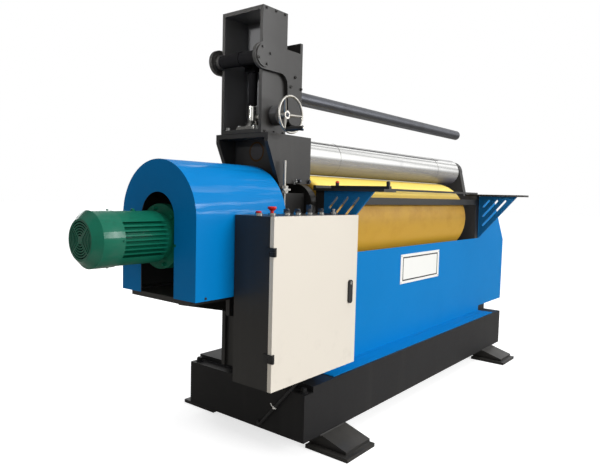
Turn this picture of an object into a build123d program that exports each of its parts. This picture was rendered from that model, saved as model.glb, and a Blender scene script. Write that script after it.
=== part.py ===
from build123d import *
import math
import os

# Two-roll plate rolling machine, in millimetres.
# X runs along the rolls from the drive end to the drop end, Y to the back, Z up.
# The origin is on the floor, under the middle of the lower roll's face, in the plane of both roll axes.

# Rolls
roll_face = 1560.0
lower_roll_d = 460.0
lower_axis_z = 948.0
sleeve_t = 40.0
shoulder_r = 30.0
core_wall = 25.0
core_end_t = 30.0
upper_roll_d = 172.0
roll_gap = 2.0
lower_journal_d = 110.0
drive_journal_d = 90.0
tail_gap = 20.0
upper_journal_d = 72.0
bush_wall = 8.0
running_fit = 0.05
taper_deg = 8.0
taper_fit = 0.1
groove_w = 6.0
groove_deep = 3.0
groove_from_end = 330.0
lift_travel = 60.0

# Base, top plate and wedge feet
base_depth = 700.0
base_height = 200.0
base_wall = 12.0
base_left_margin = 251.0
base_right_margin = 175.0
foot_height = 66.0
foot_w = 212.0
foot_wedge_w = 184.0
foot_plate_t = 16.0
foot_reach = 155.0
foot_under = 62.0
foot_nose_reach = 130.0
foot_nose_z = 28.0
foot_inset_left = 93.0
foot_inset_right = 127.0
top_plate_t = 25.0
top_plate_setback = 58.0

# Left housing: two cheek plates, head plate, web and the fixed upper chock
housing_gap = 59.0
housing_len = 236.0
housing_half = 154.0
cheek_t = 20.0
head_overhang = 53.0
head_over = 50.0
head_plate_t = 20.0
head_lip = 18.0
window_over = 41.0
window_under = 42.0
jamb_inset = 23.0
jamb_w = 47.0
web_inset = 12.0
web_t = 20.0
web_drop = 66.0
upper_chock_len = 180.0
upper_chock_step = 12.0
upper_chock_inset = 11.0
slide_fit = 3.0

# Sliding chocks and lift cylinders
chock_len = 145.0
chock_half_h = 140.0
chock_inset = 11.0
chock_flange_half = 165.0
chock_flange_rise = 185.0
chock_flange_corner = 103.0
chock_flange_t = 40.0
chock_flange_gap = 4.0
chock_neck_r = 120.0
right_chock_half_w = 118.0
right_chock_half_h = 95.0
right_chock_lip_t = 16.0
right_chock_lip = 27.0
cylinder_r = 45.0
cylinder_h = 340.0
cylinder_floor = 12.0
ram_r = 28.0
right_ram_inset = 10.0
ram_clear = 6.0

# Right housing plate and drop-end yoke
end_gap = 150.0
right_plate_t = 55.0
right_window_clear = 2.0
right_window_head = 8.0
yoke_gap = 5.0
yoke_t = 46.0
yoke_pivot_z = 626.0
yoke_lug_r = 62.0
yoke_half_low = 150.0
yoke_half_waist = 112.0
yoke_waist_z = 1120.0
yoke_top_r = 78.0
yoke_top_rise = 76.0
yoke_bush_wall = 9.0
yoke_pin_r = 14.0
yoke_lug_t = 30.0
yoke_lug_clear = 2.0
yoke_lug_h = 130.0
yoke_lug_len = 76.0
upper_end_gap = 6.0
upper_drop_gap = 40.0

# Tower, screw jack and overhead support arm
tower_setback = 138.0
tower_len = 155.0
tower_half = 119.0
tower_wall = 16.0
tower_h = 500.0
tower_foot_t = 16.0
pivot_left = 8.0
pivot_rise = 307.0
pivot_shaft_r = 20.0
boss_r = 53.0
ear_r = 32.0
arm_plate_t = 16.0
arm_gap = 1.0
arm_reach = 249.0
arm_leg_w = 87.0
arm_leg_slant = 14.0
arm_leg_drop = 259.0
arm_fillet_r = 45.0
arm_corner_r = 30.0
arm_end_t = 16.0
arm_end_rise = 98.0
rod_r = 32.0
rod_wall = 8.0
rod_len = 1960.0
rod_drop = 105.0
rod_plug_t = 12.0
rod_root = 40.0
cap_r = 46.0
cap_t = 5.0
cap_bolt_pcd = 70.0
cap_bolt_r = 5.5
cap_bolt_h = 5.0
cap_bolts = 4
cap_bolt_deg = 22.0
crank_len = 80.0
crank_t = 24.0
crank_hub_r = 30.0
crank_eye_r = 24.0
crank_pin_r = 9.0
crank_slot_play = 12.0
crank_slot_fit = 0.35
fork_gap = 2.0
fork_wall = 14.0
fork_half = 24.0
fork_h = 58.0
spindle_r = 12.0
spindle_len = 226.0
spindle_sleeve_r = 19.0
spindle_sleeve_gap = 8.0
jack_foot_w = 96.0
jack_foot_depth = 110.0
jack_foot_t = 16.0
jack_foot_round = 9.0
jack_flare_r = 42.0
jack_flare_h = 28.0
jack_barrel_r = 22.0
jack_barrel_h = 104.0
worm_offset = 12.0
wheel_rise = 76.0
wheel_shaft_r = 12.0
wheel_shaft_gap = 2.0
wheel_boss_r = 41.0
wheel_boss_out = 41.0
wheel_d = 160.0
wheel_rim_r = 5.0
wheel_hub_r = 17.0
wheel_hub_len = 26.0
wheel_dish = 31.0
wheel_standoff = 16.0
spoke_root_r = 8.0
spoke_tip_r = 4.0
spoke_count = 3
grip_deg = 240.0
grip_r = 11.0
grip_len = 84.0
grip_neck_r = 8.5
grip_swell_at = 0.35
grip_waist_at = 0.8
grip_pin_r = 5.0
grip_pin_gap = 5.0
grip_pin_head = 4.0

# Drive: cover, platform, motor and shaft-mounted reducer
cover_len = 481.0
cover_half = 218.0
cover_sheet = 3.0
cover_arch_z = 984.0
cover_end_gap = 3.0
cover_flange_w = 62.0
slot_half = 98.5
slot_arch_z = 982.0
platform_t = 20.0
platform_top_z = 693.0
platform_inset = 43.0
platform_end_inset = 14.0
platform_bracket_len = 255.0
platform_bracket_root = 131.0
platform_bracket_tip = 70.0
motor_axis_z = 914.0
motor_flange_r = 122.0
motor_flange_t = 18.0
motor_flange_inset = 8.0
motor_core_r = 80.0
motor_drum_r = 96.0
motor_groove_w = 10.0
motor_groove_pitch = 16.0
motor_groove_count = 8
motor_body_len = 180.0
motor_shield_len = 32.0
motor_shield_r = 86.0
cowl_r = 99.0
cowl_len = 109.0
cowl_sheet = 2.5
cowl_bevel = 28.0
cowl_ring_gap = 4.0
cowl_ring_pitch = 9.0
cowl_ring_count = 6
cowl_bar_w = 6.0
cowl_hub_r = 14.0
cowl_root_len = 14.0
cowl_root_t = 9.0
fan_r = 80.0
fan_hub_r = 20.0
fan_shaft_r = 12.0
fan_t = 34.0
fan_blades = 7
fan_blade_t = 3.0
terminal_len = 110.0
terminal_w = 92.0
terminal_h = 52.0
case_r = 130.0
case_len = 240.0
case_gap = 75.0
case_round = 9.0
neck_r = 88.0
reducer_bore_deep = 190.0
torque_arm_w = 40.0
torque_arm_h = 30.0
torque_arm_drop = 110.0

# Sheet panels and guard
panel_y = 234.0
panel_sheet = 3.0
panel_top_z = 811.0
panel_left = 32.0
panel_step_z = 362.0
panel_step = 8.0
panel_right = 62.0
panel_flange_margin = 12.0
guard_len = 500.0
guard_low_z = 328.0
guard_top_z = 1081.0
guard_edge_z = 781.0
guard_slope = 225.0
guard_plate_gap = 3.0
name_plate_w = 480.0
name_plate_h = 163.0
name_plate_t = 2.0
name_plate_x = 126.0
name_plate_z = 686.0

# Feed table: posts, gussets, shelves and bars
gusset_t = 12.0
gusset_reach = 252.0
gusset_low_z = 811.0
post_depth = 47.0
post_gap = 7.0
shelf_z = 1102.0
shelf_t = 12.0
shelf_w = 100.0
shelf_front = 548.0
shelf_back = 185.0
right_shelf_back = 150.0
shelf_left_lap = 15.0
slot_count = 3
slot_w = 15.0
slot_pitch = 42.0
slot_edge = 38.0
slot_top_gap = 30.0
slot_back_gap = 30.0
cross_bar_t = 15.0
cross_bar_low_z = 1041.0
cross_bar_h = 36.0
guide_bar_w = 15.0
guide_bar_h = 12.0
side_guide_len = 294.0
side_guide_w = 20.0
stud_r = 8.0
stud_h = 12.0
stud_insets = (10.0, 27.0)

# Limit rod on the head's front
limit_rod_r = 6.0
limit_rod_len = 236.0
limit_rod_rise = 126.0
limit_tab_w = 44.0
limit_tab_t = 8.0
limit_tab_drop = 31.0
limit_out = 24.0
limit_nut_r = 16.0
limit_nut_h = 12.0

# Control cabinet and its fittings
cabinet_x = 834.0
cabinet_w = 540.0
cabinet_back = 222.0
cabinet_deep = 175.0
cabinet_low_z = 369.0
cabinet_h = 633.0
cabinet_wall = 2.5
door_t = 18.0
door_gap = 1.0
door_skin = 2.5
hinge_h = 32.0
hinge_zs = (491.0, 876.0)
hinge_r = 4.5
hinge_pin_r = 2.2
hinge_leaf_t = 3.0
hinge_leaf_w = 11.0
hinge_seat_w = 18.0
hinge_out = 5.0
hinge_in = 2.0
hinge_wrap_gap = 2.0
lock_w = 26.0
lock_h = 98.0
lock_t = 8.0
lock_inset = 52.0
lock_top_z = 730.0
lock_stem_r = 9.0
lock_round = 11.0
bracket_h = 50.0
bracket_w = 190.0
bracket_zs = (400.0, 560.0)
board_t = 3.0
board_margin = 40.0
board_standoff = 6.0
board_edge_share = 0.06
drive_width_share = 0.36
drive_height_share = 0.44
drive_depth_share = 0.6
contactor_count = 4
contactor_from_share = 0.5
contactor_pitch_share = 0.115
contactor_width_share = 0.095
contactor_low_share = 0.62
contactor_height_share = 0.16
contactor_depth_share = 0.4
terminal_low_share = 0.1
terminal_height_share = 0.1
terminal_depth_share = 0.22
console_y = 318.0
console_shares = (0.043, 0.18, 0.337, 0.461, 0.6, 0.744, 0.913)
bezel_r = 15.0
bezel_h = 9.0
button_r = 10.5
button_h = 13.0
button_travel = 4.0
estop_r = 17.0
estop_stem_r = 7.0
estop_stem_h = 12.0
estop_head_h = 16.0
estop_cap_h = 7.0
estop_neck_r = 8.5
estop_round = 4.0
estop_travel = 5.0
knob_r = 12.5
knob_h = 14.0
knob_bar_w = 7.0
tall_knob_h = 30.0
lamp_r = 9.0
lamp_h = 14.0
cap_fit = 0.3

# Cable conduit from the cabinet to the base's end
conduit_r = 6.0
gland_r = 11.0
gland_len = 14.0
conduit_out = 16.0
conduit_top_y = 335.0
conduit_low_y = 118.0
conduit_low_z = 88.0
conduit_drop = 22.0
conduit_bends = (50.0, 30.0)

# Stations worked out from the sizes above
x_face = roll_face / 2
x_house = -x_face - housing_gap
x_col = x_house - housing_len
x_head = x_col - head_overhang
x_jamb = x_col + jamb_inset
x_plate = x_face + end_gap
x_plate_out = x_plate + right_plate_t
x_yoke = x_plate_out + yoke_gap
x_pivot = x_yoke + yoke_t / 2
base_x0 = x_house - base_left_margin
base_x1 = x_plate_out + base_right_margin
base_z1 = foot_height + base_height
deck_z = base_z1 + top_plate_t
lower_r = lower_roll_d / 2
upper_r = upper_roll_d / 2
upper_axis_z = lower_axis_z + lower_r + roll_gap + upper_r
cheek_top_z = upper_axis_z + head_over
head_slant_z = cheek_top_z - head_lip
head_z = cheek_top_z + head_plate_t
window_top_z = lower_axis_z + chock_half_h + window_over
window_bottom_z = lower_axis_z - chock_half_h - lift_travel - window_under
tower_x1 = x_house - tower_setback
tower_x0 = tower_x1 - tower_len
tower_top_z = head_z + tower_h
pivot_x = tower_x0 - pivot_left
pivot_z = head_z + pivot_rise
screw_x = pivot_x + crank_len
wheel_x = screw_x + worm_offset
wheel_z = head_z + wheel_rise
arm_x1 = pivot_x + arm_reach
arm_in = tower_half + arm_gap
arm_out = arm_in + arm_plate_t
arm_leg_low_z = pivot_z - arm_leg_drop
rod_z = pivot_z - rod_drop
cover_x1 = x_col - cover_end_gap
cover_x0 = cover_x1 - cover_len
x_flange = cover_x0 + cover_sheet + motor_flange_inset
x_case1 = x_col - case_gap
x_case0 = x_case1 - case_len
x_chock0 = x_house - chock_inset - chock_len
x_chock1 = x_house - chock_inset
cabinet_x1 = -cabinet_x
cabinet_x0 = cabinet_x1 - cabinet_w
cabinet_z1 = cabinet_low_z + cabinet_h
cabinet_front = cabinet_back + cabinet_deep
door_back = cabinet_front + door_gap
door_front = door_back + door_t
CENTRE_LOW = (Align.CENTER, Align.CENTER, Align.MIN)


def block(x0, x1, y0, y1, z0, z1):
    """A box between two corners."""
    middle = Pos((x0 + x1) / 2, (y0 + y1) / 2, (z0 + z1) / 2)
    return middle * Box(abs(x1 - x0), abs(y1 - y0), abs(z1 - z0))


def bar_x(x0, x1, r, y=0.0, z=0.0):
    """A round bar along X."""
    return Pos(x0, y, z) * Rot(0, 90, 0) * Cylinder(r, x1 - x0, align=CENTRE_LOW)


def bar_y(y0, y1, r, x=0.0, z=0.0):
    """A round bar along Y."""
    return Pos(x, y0, z) * Rot(-90, 0, 0) * Cylinder(r, y1 - y0, align=CENTRE_LOW)


def bar_z(z0, z1, r, x=0.0, y=0.0):
    """A round bar along Z."""
    return Pos(x, y, z0) * Cylinder(r, z1 - z0, align=CENTRE_LOW)


def cone_x(x0, x1, r0, r1, z=0.0):
    """A taper along X, r0 at x0 and r1 at x1, about the roll plane."""
    return Pos(x0, 0, z) * Rot(0, 90, 0) * Cone(r0, r1, x1 - x0, align=CENTRE_LOW)


def plate_xz(points, y0, y1):
    """A flat plate whose outline is in the X-Z plane."""
    face = make_face(Polyline(*[(x, y0, z) for x, z in points], close=True))
    return extrude(face, amount=y1 - y0, dir=(0, 1, 0))


def plate_yz(points, x0, x1):
    """A flat plate whose outline is in the Y-Z plane."""
    face = make_face(Polyline(*[(x0, y, z) for y, z in points], close=True))
    return extrude(face, amount=x1 - x0, dir=(1, 0, 0))


def mirrored(shape):
    """The same piece on the other side of the roll plane."""
    return mirror(shape, about=Plane.XZ)


def hexagon(z0, z1, across, x, y):
    """A nut's hexagon standing on z0."""
    return Pos(x, y, z0) * extrude(RegularPolygon(across, 6), amount=z1 - z0)


def save(name, *shapes):
    """Writes one node, with each piece as a solid of its own."""
    solids = [solid for shape in shapes for solid in shape.solids()]
    piece = solids[0] if len(solids) == 1 else Compound(children=solids)
    export_step(piece, os.path.join("parts", name + ".step"))


# Base
def make_base():
    outer = block(base_x0, base_x1, -base_depth / 2, base_depth / 2, foot_height, base_z1)
    inner = block(base_x0 + base_wall, base_x1 - base_wall, base_wall - base_depth / 2,
                  base_depth / 2 - base_wall, foot_height + base_wall, base_z1 - base_wall)
    save("base_frame", outer - inner)
    plate = block(base_x0 + top_plate_setback, base_x1, -base_depth / 2, base_depth / 2, base_z1, deck_z)
    guard_seat = block(x_plate_out + panel_right, base_x1, -panel_y, panel_y, deck_z, guard_low_z)
    save("base_top_plate", plate, guard_seat)


def foot(x0):
    """One front foot: a floor plate with a wedge block whose nose slopes down outside the base."""
    edge = base_depth / 2
    profile = [(-edge + foot_under, foot_plate_t), (-edge + foot_under, foot_height), (-edge, foot_height),
               (-edge - foot_nose_reach, foot_nose_z), (-edge - foot_nose_reach, foot_plate_t)]
    wedge = plate_yz(profile, x0 + foot_w - foot_wedge_w, x0 + foot_w)
    floor_plate = block(x0, x0 + foot_w, -edge - foot_reach, -edge + foot_under, 0, foot_plate_t)
    return wedge + floor_plate


def make_feet():
    stations = (base_x0 + foot_inset_left, base_x1 - foot_inset_right - foot_w)
    fronts = [foot(x0) for x0 in stations]
    save("wedge_feet", *fronts, *[mirrored(piece) for piece in fronts])


# Left housing
def make_housing():
    outline = [(x_col, deck_z), (x_house, deck_z), (x_house, window_bottom_z),
               (x_jamb + jamb_w, window_bottom_z), (x_jamb + jamb_w, window_top_z), (x_house, window_top_z),
               (x_house, cheek_top_z), (x_head, cheek_top_z), (x_head, head_slant_z), (x_jamb, window_top_z),
               (x_jamb, window_bottom_z), (x_col, window_bottom_z - jamb_inset)]
    front = plate_xz(outline, -housing_half, cheek_t - housing_half)
    save("housing_cheeks", front, mirrored(front))
    inside = housing_half - cheek_t
    head = block(x_head, x_house, -housing_half, housing_half, cheek_top_z, head_z)
    web = block(x_col + web_inset, x_col + web_inset + web_t, -inside, inside, deck_z,
                window_bottom_z - web_drop)
    save("housing_ties", head, web)
    x1 = x_house - upper_chock_inset
    x0 = x1 - upper_chock_len
    bush_r = upper_journal_d / 2 + running_fit + bush_wall
    chock = block(x0, x1, -inside, inside, window_top_z + upper_chock_step, cheek_top_z)
    save("upper_chock", chock - bar_x(x0, x1, bush_r, 0, upper_axis_z))
    bush = bar_x(x0, x1, bush_r, 0, upper_axis_z)
    save("upper_bush", bush - bar_x(x0, x1, bush_r - bush_wall, 0, upper_axis_z))


# Rolls
def make_rolls():
    core_r = lower_r - sleeve_t
    shell = bar_x(-x_face, x_face, core_r, 0, lower_axis_z)
    hollow = bar_x(-x_face + core_end_t, x_face - core_end_t, core_r - core_wall, 0, lower_axis_z)
    journal = bar_x(x_chock0, -x_face, lower_journal_d / 2, 0, lower_axis_z)
    tail = bar_x(x_case1 - reducer_bore_deep + tail_gap, x_chock0, drive_journal_d / 2, 0, lower_axis_z)
    far = bar_x(x_face, x_plate_out, lower_journal_d / 2, 0, lower_axis_z)
    save("lower_roll_core", shell - hollow, journal, tail, far)
    sleeve = bar_x(-x_face, x_face, lower_r, 0, lower_axis_z)
    rims = [edge for edge in sleeve.edges() if edge.geom_type == GeomType.CIRCLE]
    sleeve = fillet(rims, shoulder_r)
    save("roll_sleeve", sleeve - bar_x(-x_face, x_face, core_r, 0, lower_axis_z))

    x0 = x_house + upper_end_gap
    x1 = x_yoke - upper_drop_gap
    barrel = bar_x(x0, x1, upper_r, 0, upper_axis_z)
    for at in (x0 + groove_from_end, x1 - groove_from_end):
        ring = bar_x(at, at + groove_w, upper_r + groove_deep, 0, upper_axis_z)
        barrel -= ring - bar_x(at, at + groove_w, upper_r - groove_deep, 0, upper_axis_z)
    tail = bar_x(x_house - upper_chock_inset - upper_chock_len, x0, upper_journal_d / 2, 0, upper_axis_z)
    nose_r = seat_r(x1) - taper_fit
    nose = cone_x(x1, x_yoke + yoke_t, nose_r, seat_r(x_yoke + yoke_t) - taper_fit, upper_axis_z)
    save("upper_roll", barrel + tail + nose)


def seat_r(x):
    """Radius of the yoke's tapered seat at a station along X."""
    return upper_journal_d / 2 - (x - x_yoke) * math.tan(math.radians(taper_deg))


# Sliding chocks, bushes and lift cylinders
def make_chocks():
    half = housing_half - cheek_t - slide_fit
    bush_r = lower_journal_d / 2 + running_fit + bush_wall
    low = lower_axis_z - chock_half_h
    flange_x0 = x_house + chock_flange_gap
    flange_x1 = flange_x0 + chock_flange_t
    body = block(x_chock0, x_chock1, -half, half, low, lower_axis_z + chock_half_h)
    neck = bar_x(x_chock1, flange_x0, chock_neck_r, 0, lower_axis_z)
    flange = block(flange_x0, flange_x1, -chock_flange_half, chock_flange_half,
                   lower_axis_z - chock_flange_rise, lower_axis_z + chock_flange_rise)
    flange = fillet(flange.edges().filter_by(Axis.X), chock_flange_corner)
    left_bore = bar_x(x_chock0, flange_x1, bush_r, 0, lower_axis_z)
    save("left_chock", body + neck + flange - left_bore)
    lip_x1 = x_plate - right_window_clear
    lip_x0 = lip_x1 - right_chock_lip_t
    low_right = lower_axis_z - right_chock_half_h
    high_right = lower_axis_z + right_chock_half_h
    slider = block(lip_x0, x_plate_out, -right_chock_half_w, right_chock_half_w, low_right, high_right)
    reach = right_chock_half_w + right_chock_lip
    lip = block(lip_x0, lip_x1, -reach, reach, low_right, high_right)
    right_bore = bar_x(lip_x0, x_plate_out, bush_r, 0, lower_axis_z)
    save("right_chock", slider + lip - right_bore)
    bore_r = lower_journal_d / 2 + running_fit
    left_bush = left_bore - bar_x(x_chock0, flange_x1, bore_r, 0, lower_axis_z)
    right_bush = right_bore - bar_x(lip_x0, x_plate_out, bore_r, 0, lower_axis_z)
    save("lower_bushes", left_bush, right_bush)

    barrels = []
    rams = []
    stations = (((x_chock0 + x_chock1) / 2, low), (x_plate + right_ram_inset, low_right))
    for x, top in stations:
        barrel = bar_z(deck_z, deck_z + cylinder_h, cylinder_r, x)
        bore = bar_z(deck_z + cylinder_floor, deck_z + cylinder_h, ram_r + running_fit, x)
        barrels.append(barrel - bore)
        rams.append(bar_z(deck_z + cylinder_floor + lift_travel + ram_clear, top, ram_r, x))
    save("lift_cylinders", *barrels)
    save("lift_rams", *rams)


# Right housing plate and drop-end yoke
def make_drop_end():
    half = panel_y - panel_sheet
    window = right_chock_half_w + right_window_clear
    window_top = lower_axis_z + right_chock_half_h + right_window_head
    plate = block(x_plate, x_plate_out, -half, half, deck_z, shelf_z)
    plate -= block(x_plate, x_plate_out, -window, window, deck_z, window_top)
    inner = yoke_half_low + yoke_lug_clear
    outer = inner + yoke_lug_t
    lug = block(x_plate_out, x_plate_out + yoke_lug_len, -outer, -inner, yoke_pivot_z - yoke_lug_h / 2,
                yoke_pivot_z + yoke_lug_h / 2)
    plate += [lug, mirrored(lug)]
    save("right_housing", plate - bar_y(-outer, outer, yoke_pin_r, x_pivot, yoke_pivot_z))
    save("yoke_pin", bar_y(-outer, outer, yoke_pin_r, x_pivot, yoke_pivot_z))

    top_z = upper_axis_z + yoke_top_rise - yoke_top_r
    low_z = yoke_pivot_z + yoke_lug_r
    body = plate_yz([(-yoke_half_low, yoke_pivot_z), (yoke_half_low, yoke_pivot_z), (yoke_half_low, low_z),
                     (yoke_half_waist, yoke_waist_z), (yoke_top_r, top_z), (-yoke_top_r, top_z),
                     (-yoke_half_waist, yoke_waist_z), (-yoke_half_low, low_z)], x_yoke, x_yoke + yoke_t)
    crown = bar_x(x_yoke, x_yoke + yoke_t, yoke_top_r, 0, top_z)
    barrel = bar_y(-yoke_half_low, yoke_half_low, yoke_t / 2 + yoke_gap - slide_fit, x_pivot, yoke_pivot_z)
    wide = yoke_bush_wall + taper_fit
    mouth = seat_r(x_yoke)
    throat = seat_r(x_yoke + yoke_t)
    hole = cone_x(x_yoke, x_yoke + yoke_t, mouth + wide, throat + wide, upper_axis_z)
    seat = cone_x(x_yoke, x_yoke + yoke_t, mouth, throat, upper_axis_z)
    pin_hole = bar_y(-yoke_half_low, yoke_half_low, yoke_pin_r + running_fit, x_pivot, yoke_pivot_z)
    save("drop_yoke", body + crown + barrel - hole - pin_hole)
    save("yoke_bush", hole - seat)


# Tower and screw jack
def make_tower():
    front = block(tower_x0, tower_x1, -tower_half, tower_wall - tower_half, head_z, tower_top_z)
    front += bar_y(-tower_half, tower_wall - tower_half, ear_r, pivot_x, pivot_z)
    front -= bar_y(-tower_half, tower_wall - tower_half, pivot_shaft_r + running_fit, pivot_x, pivot_z)
    shaft_hole = bar_y(-tower_half, tower_wall - tower_half, wheel_shaft_r + slide_fit, wheel_x, wheel_z)
    save("tower_cheeks", front - shaft_hole, mirrored(front))
    inside = tower_half - tower_wall
    side = block(tower_x1 - tower_wall, tower_x1, -inside, inside, head_z, tower_top_z)
    top = block(tower_x0, tower_x1, -tower_half, tower_half, tower_top_z, tower_top_z + tower_wall)
    sole = block(tower_x0, tower_x1 - tower_wall, -inside, inside, head_z, head_z + tower_foot_t)
    boss = bar_y(-tower_half - wheel_boss_out, -tower_half, wheel_boss_r, wheel_x, wheel_z)
    boss -= bar_y(-tower_half - wheel_boss_out, -tower_half, wheel_shaft_r + running_fit, wheel_x, wheel_z)
    save("tower_ties", side, top, sole, boss)

    foot_z = head_z + tower_foot_t
    jack_top = foot_z + jack_barrel_h
    jack = Pos(screw_x, 0, foot_z) * Box(jack_foot_w, jack_foot_depth, jack_foot_t, align=CENTRE_LOW)
    jack = fillet(jack.edges().filter_by(Axis.Z), jack_foot_round)
    flare = Cone(jack_flare_r, jack_barrel_r, jack_flare_h, align=CENTRE_LOW)
    jack += Pos(screw_x, 0, foot_z + jack_foot_t) * flare
    jack += bar_z(foot_z, jack_top, jack_barrel_r, screw_x)
    jack -= bar_z(foot_z, jack_top, spindle_r + running_fit, screw_x)
    jack -= bar_y(-jack_barrel_r, -spindle_r - slide_fit, wheel_shaft_r + running_fit, wheel_x, wheel_z)
    save("jack_housing", jack)

    fork_in = crank_t / 2 + fork_gap
    fork_out = fork_in + fork_wall
    fork_low = pivot_z - fork_h / 2 - fork_wall
    spindle = bar_z(fork_low - spindle_len, fork_low, spindle_r, screw_x)
    spindle += bar_z(jack_top + spindle_sleeve_gap, fork_low, spindle_sleeve_r, screw_x)
    fork_top = pivot_z + fork_h / 2
    head = block(screw_x - fork_half, screw_x + fork_half, -fork_out, fork_out, fork_low, fork_top)
    gap = block(screw_x - fork_half, screw_x + fork_half, -fork_in, fork_in, fork_low + fork_wall, fork_top)
    pin = bar_y(-fork_out, fork_out, crank_pin_r, screw_x, pivot_z)
    save("jack_spindle", spindle + (head - gap) + pin)


# Overhead support arm
def arm_plate():
    """The front gooseneck plate: a round boss, a level beam and a leg that drops to the rod."""
    x_end = arm_x1 - arm_end_t
    low = pivot_z - boss_r
    leg_x = arm_x1 - arm_leg_w
    outline = [(pivot_x, pivot_z + boss_r), (x_end, pivot_z + boss_r), (x_end, arm_leg_low_z),
               (leg_x, arm_leg_low_z), (leg_x - arm_leg_slant, low), (pivot_x, low)]
    plate = plate_xz(outline, -arm_out, -arm_in)
    upright = plate.edges().filter_by(Axis.Y)
    plate = fillet(upright.sort_by_distance((leg_x - arm_leg_slant, -arm_out, low))[0], arm_fillet_r)
    upright = plate.edges().filter_by(Axis.Y)
    plate = fillet(upright.sort_by_distance((leg_x, -arm_out, arm_leg_low_z))[0], arm_corner_r)
    plate += bar_y(-arm_out, -arm_in, boss_r, pivot_x, pivot_z)
    return plate - bar_y(-arm_out, -arm_in, pivot_shaft_r, pivot_x, pivot_z)


def make_arm():
    front = arm_plate()
    save("arm_cheeks", front, mirrored(front))
    x_end = arm_x1 - arm_end_t
    end = block(x_end, arm_x1, -arm_out, arm_out, arm_leg_low_z, pivot_z + arm_end_rise)
    save("arm_end_plate", end - bar_x(x_end, arm_x1, rod_r, 0, rod_z))
    tip = arm_x1 + rod_len
    tube = bar_x(x_end - rod_root, tip, rod_r, 0, rod_z)
    tube -= bar_x(x_end - rod_root, tip - rod_plug_t, rod_r - rod_wall, 0, rod_z)
    save("support_rod", tube)
    shaft = bar_y(-arm_out, arm_out, pivot_shaft_r, pivot_x, pivot_z)
    hub = bar_y(-crank_t / 2, crank_t / 2, crank_hub_r, pivot_x, pivot_z)
    eye = bar_y(-crank_t / 2, crank_t / 2, crank_eye_r, screw_x, pivot_z)
    web = block(pivot_x, screw_x, -crank_t / 2, crank_t / 2, pivot_z - crank_eye_r, pivot_z + crank_eye_r)
    half_slot = crank_slot_play / 2
    slot_r = crank_pin_r + crank_slot_fit
    slot = block(screw_x - half_slot, screw_x + half_slot, -crank_t / 2, crank_t / 2, pivot_z - slot_r,
                 pivot_z + slot_r)
    slot += bar_y(-crank_t / 2, crank_t / 2, slot_r, screw_x - half_slot, pivot_z)
    slot += bar_y(-crank_t / 2, crank_t / 2, slot_r, screw_x + half_slot, pivot_z)
    save("pivot_shaft", shaft + hub + eye + web - slot)
    cap = bar_y(-arm_out - cap_t, -arm_out, cap_r, pivot_x, pivot_z)
    for turn in range(cap_bolts):
        angle = math.radians(cap_bolt_deg + 360 / cap_bolts * turn)
        x = pivot_x + cap_bolt_pcd / 2 * math.cos(angle)
        z = pivot_z + cap_bolt_pcd / 2 * math.sin(angle)
        cap += bar_y(-arm_out - cap_t - cap_bolt_h, -arm_out - cap_t, cap_bolt_r, x, z)
    save("pivot_caps", cap, mirrored(cap))


def make_handwheel():
    boss_y = -tower_half - wheel_boss_out
    hub_y = boss_y - wheel_standoff
    rim_y = hub_y - wheel_dish
    rim_r = wheel_d / 2 - wheel_rim_r
    centre = Pos(wheel_x, rim_y, wheel_z)
    rim = centre * Rot(90, 0, 0) * Torus(rim_r, wheel_rim_r)
    wheel = bar_y(hub_y - wheel_hub_len / 2, hub_y + wheel_hub_len / 2, wheel_hub_r, wheel_x, wheel_z)
    for turn in range(spoke_count):
        angle = math.radians(360 / spoke_count * turn)
        start = Vector(wheel_x, hub_y, wheel_z)
        stop = Vector(wheel_x + rim_r * math.cos(angle), rim_y, wheel_z + rim_r * math.sin(angle))
        spoke = Cone(spoke_root_r, spoke_tip_r, (stop - start).length, align=CENTRE_LOW)
        wheel += Plane(origin=start, z_dir=stop - start) * spoke
    wheel -= bar_y(hub_y - wheel_hub_len / 2, hub_y + wheel_hub_len / 2, wheel_shaft_r, wheel_x, wheel_z)
    angle = math.radians(grip_deg)
    grip_x = wheel_x + rim_r * math.cos(angle)
    grip_z = wheel_z + rim_r * math.sin(angle)
    grip_y1 = rim_y - wheel_rim_r - grip_pin_gap
    pin = bar_y(grip_y1 - grip_len - grip_pin_gap - grip_pin_head, rim_y, grip_pin_r, grip_x, grip_z)
    head_y = grip_y1 - grip_len - grip_pin_gap
    pin += bar_y(head_y - grip_pin_head, head_y, grip_pin_r + grip_pin_head / 2, grip_x, grip_z)
    shaft_end = -spindle_r - slide_fit - wheel_shaft_gap
    shaft = bar_y(hub_y - wheel_hub_len / 2, shaft_end, wheel_shaft_r, wheel_x, wheel_z)
    save("handwheel", wheel + pin + rim, shaft)
    grip_bore = grip_pin_r + running_fit
    profile = make_face(Polyline((grip_bore, 0), (grip_neck_r, 0), (grip_r, grip_len * grip_swell_at),
                                 (grip_neck_r, grip_len * grip_waist_at), (grip_r, grip_len),
                                 (grip_bore, grip_len), close=True))
    grip = revolve(Plane.XZ * profile, axis=Axis.Z)
    save("handle_grip", Pos(grip_x, grip_y1, grip_z) * Rot(90, 0, 0) * grip)


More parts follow.
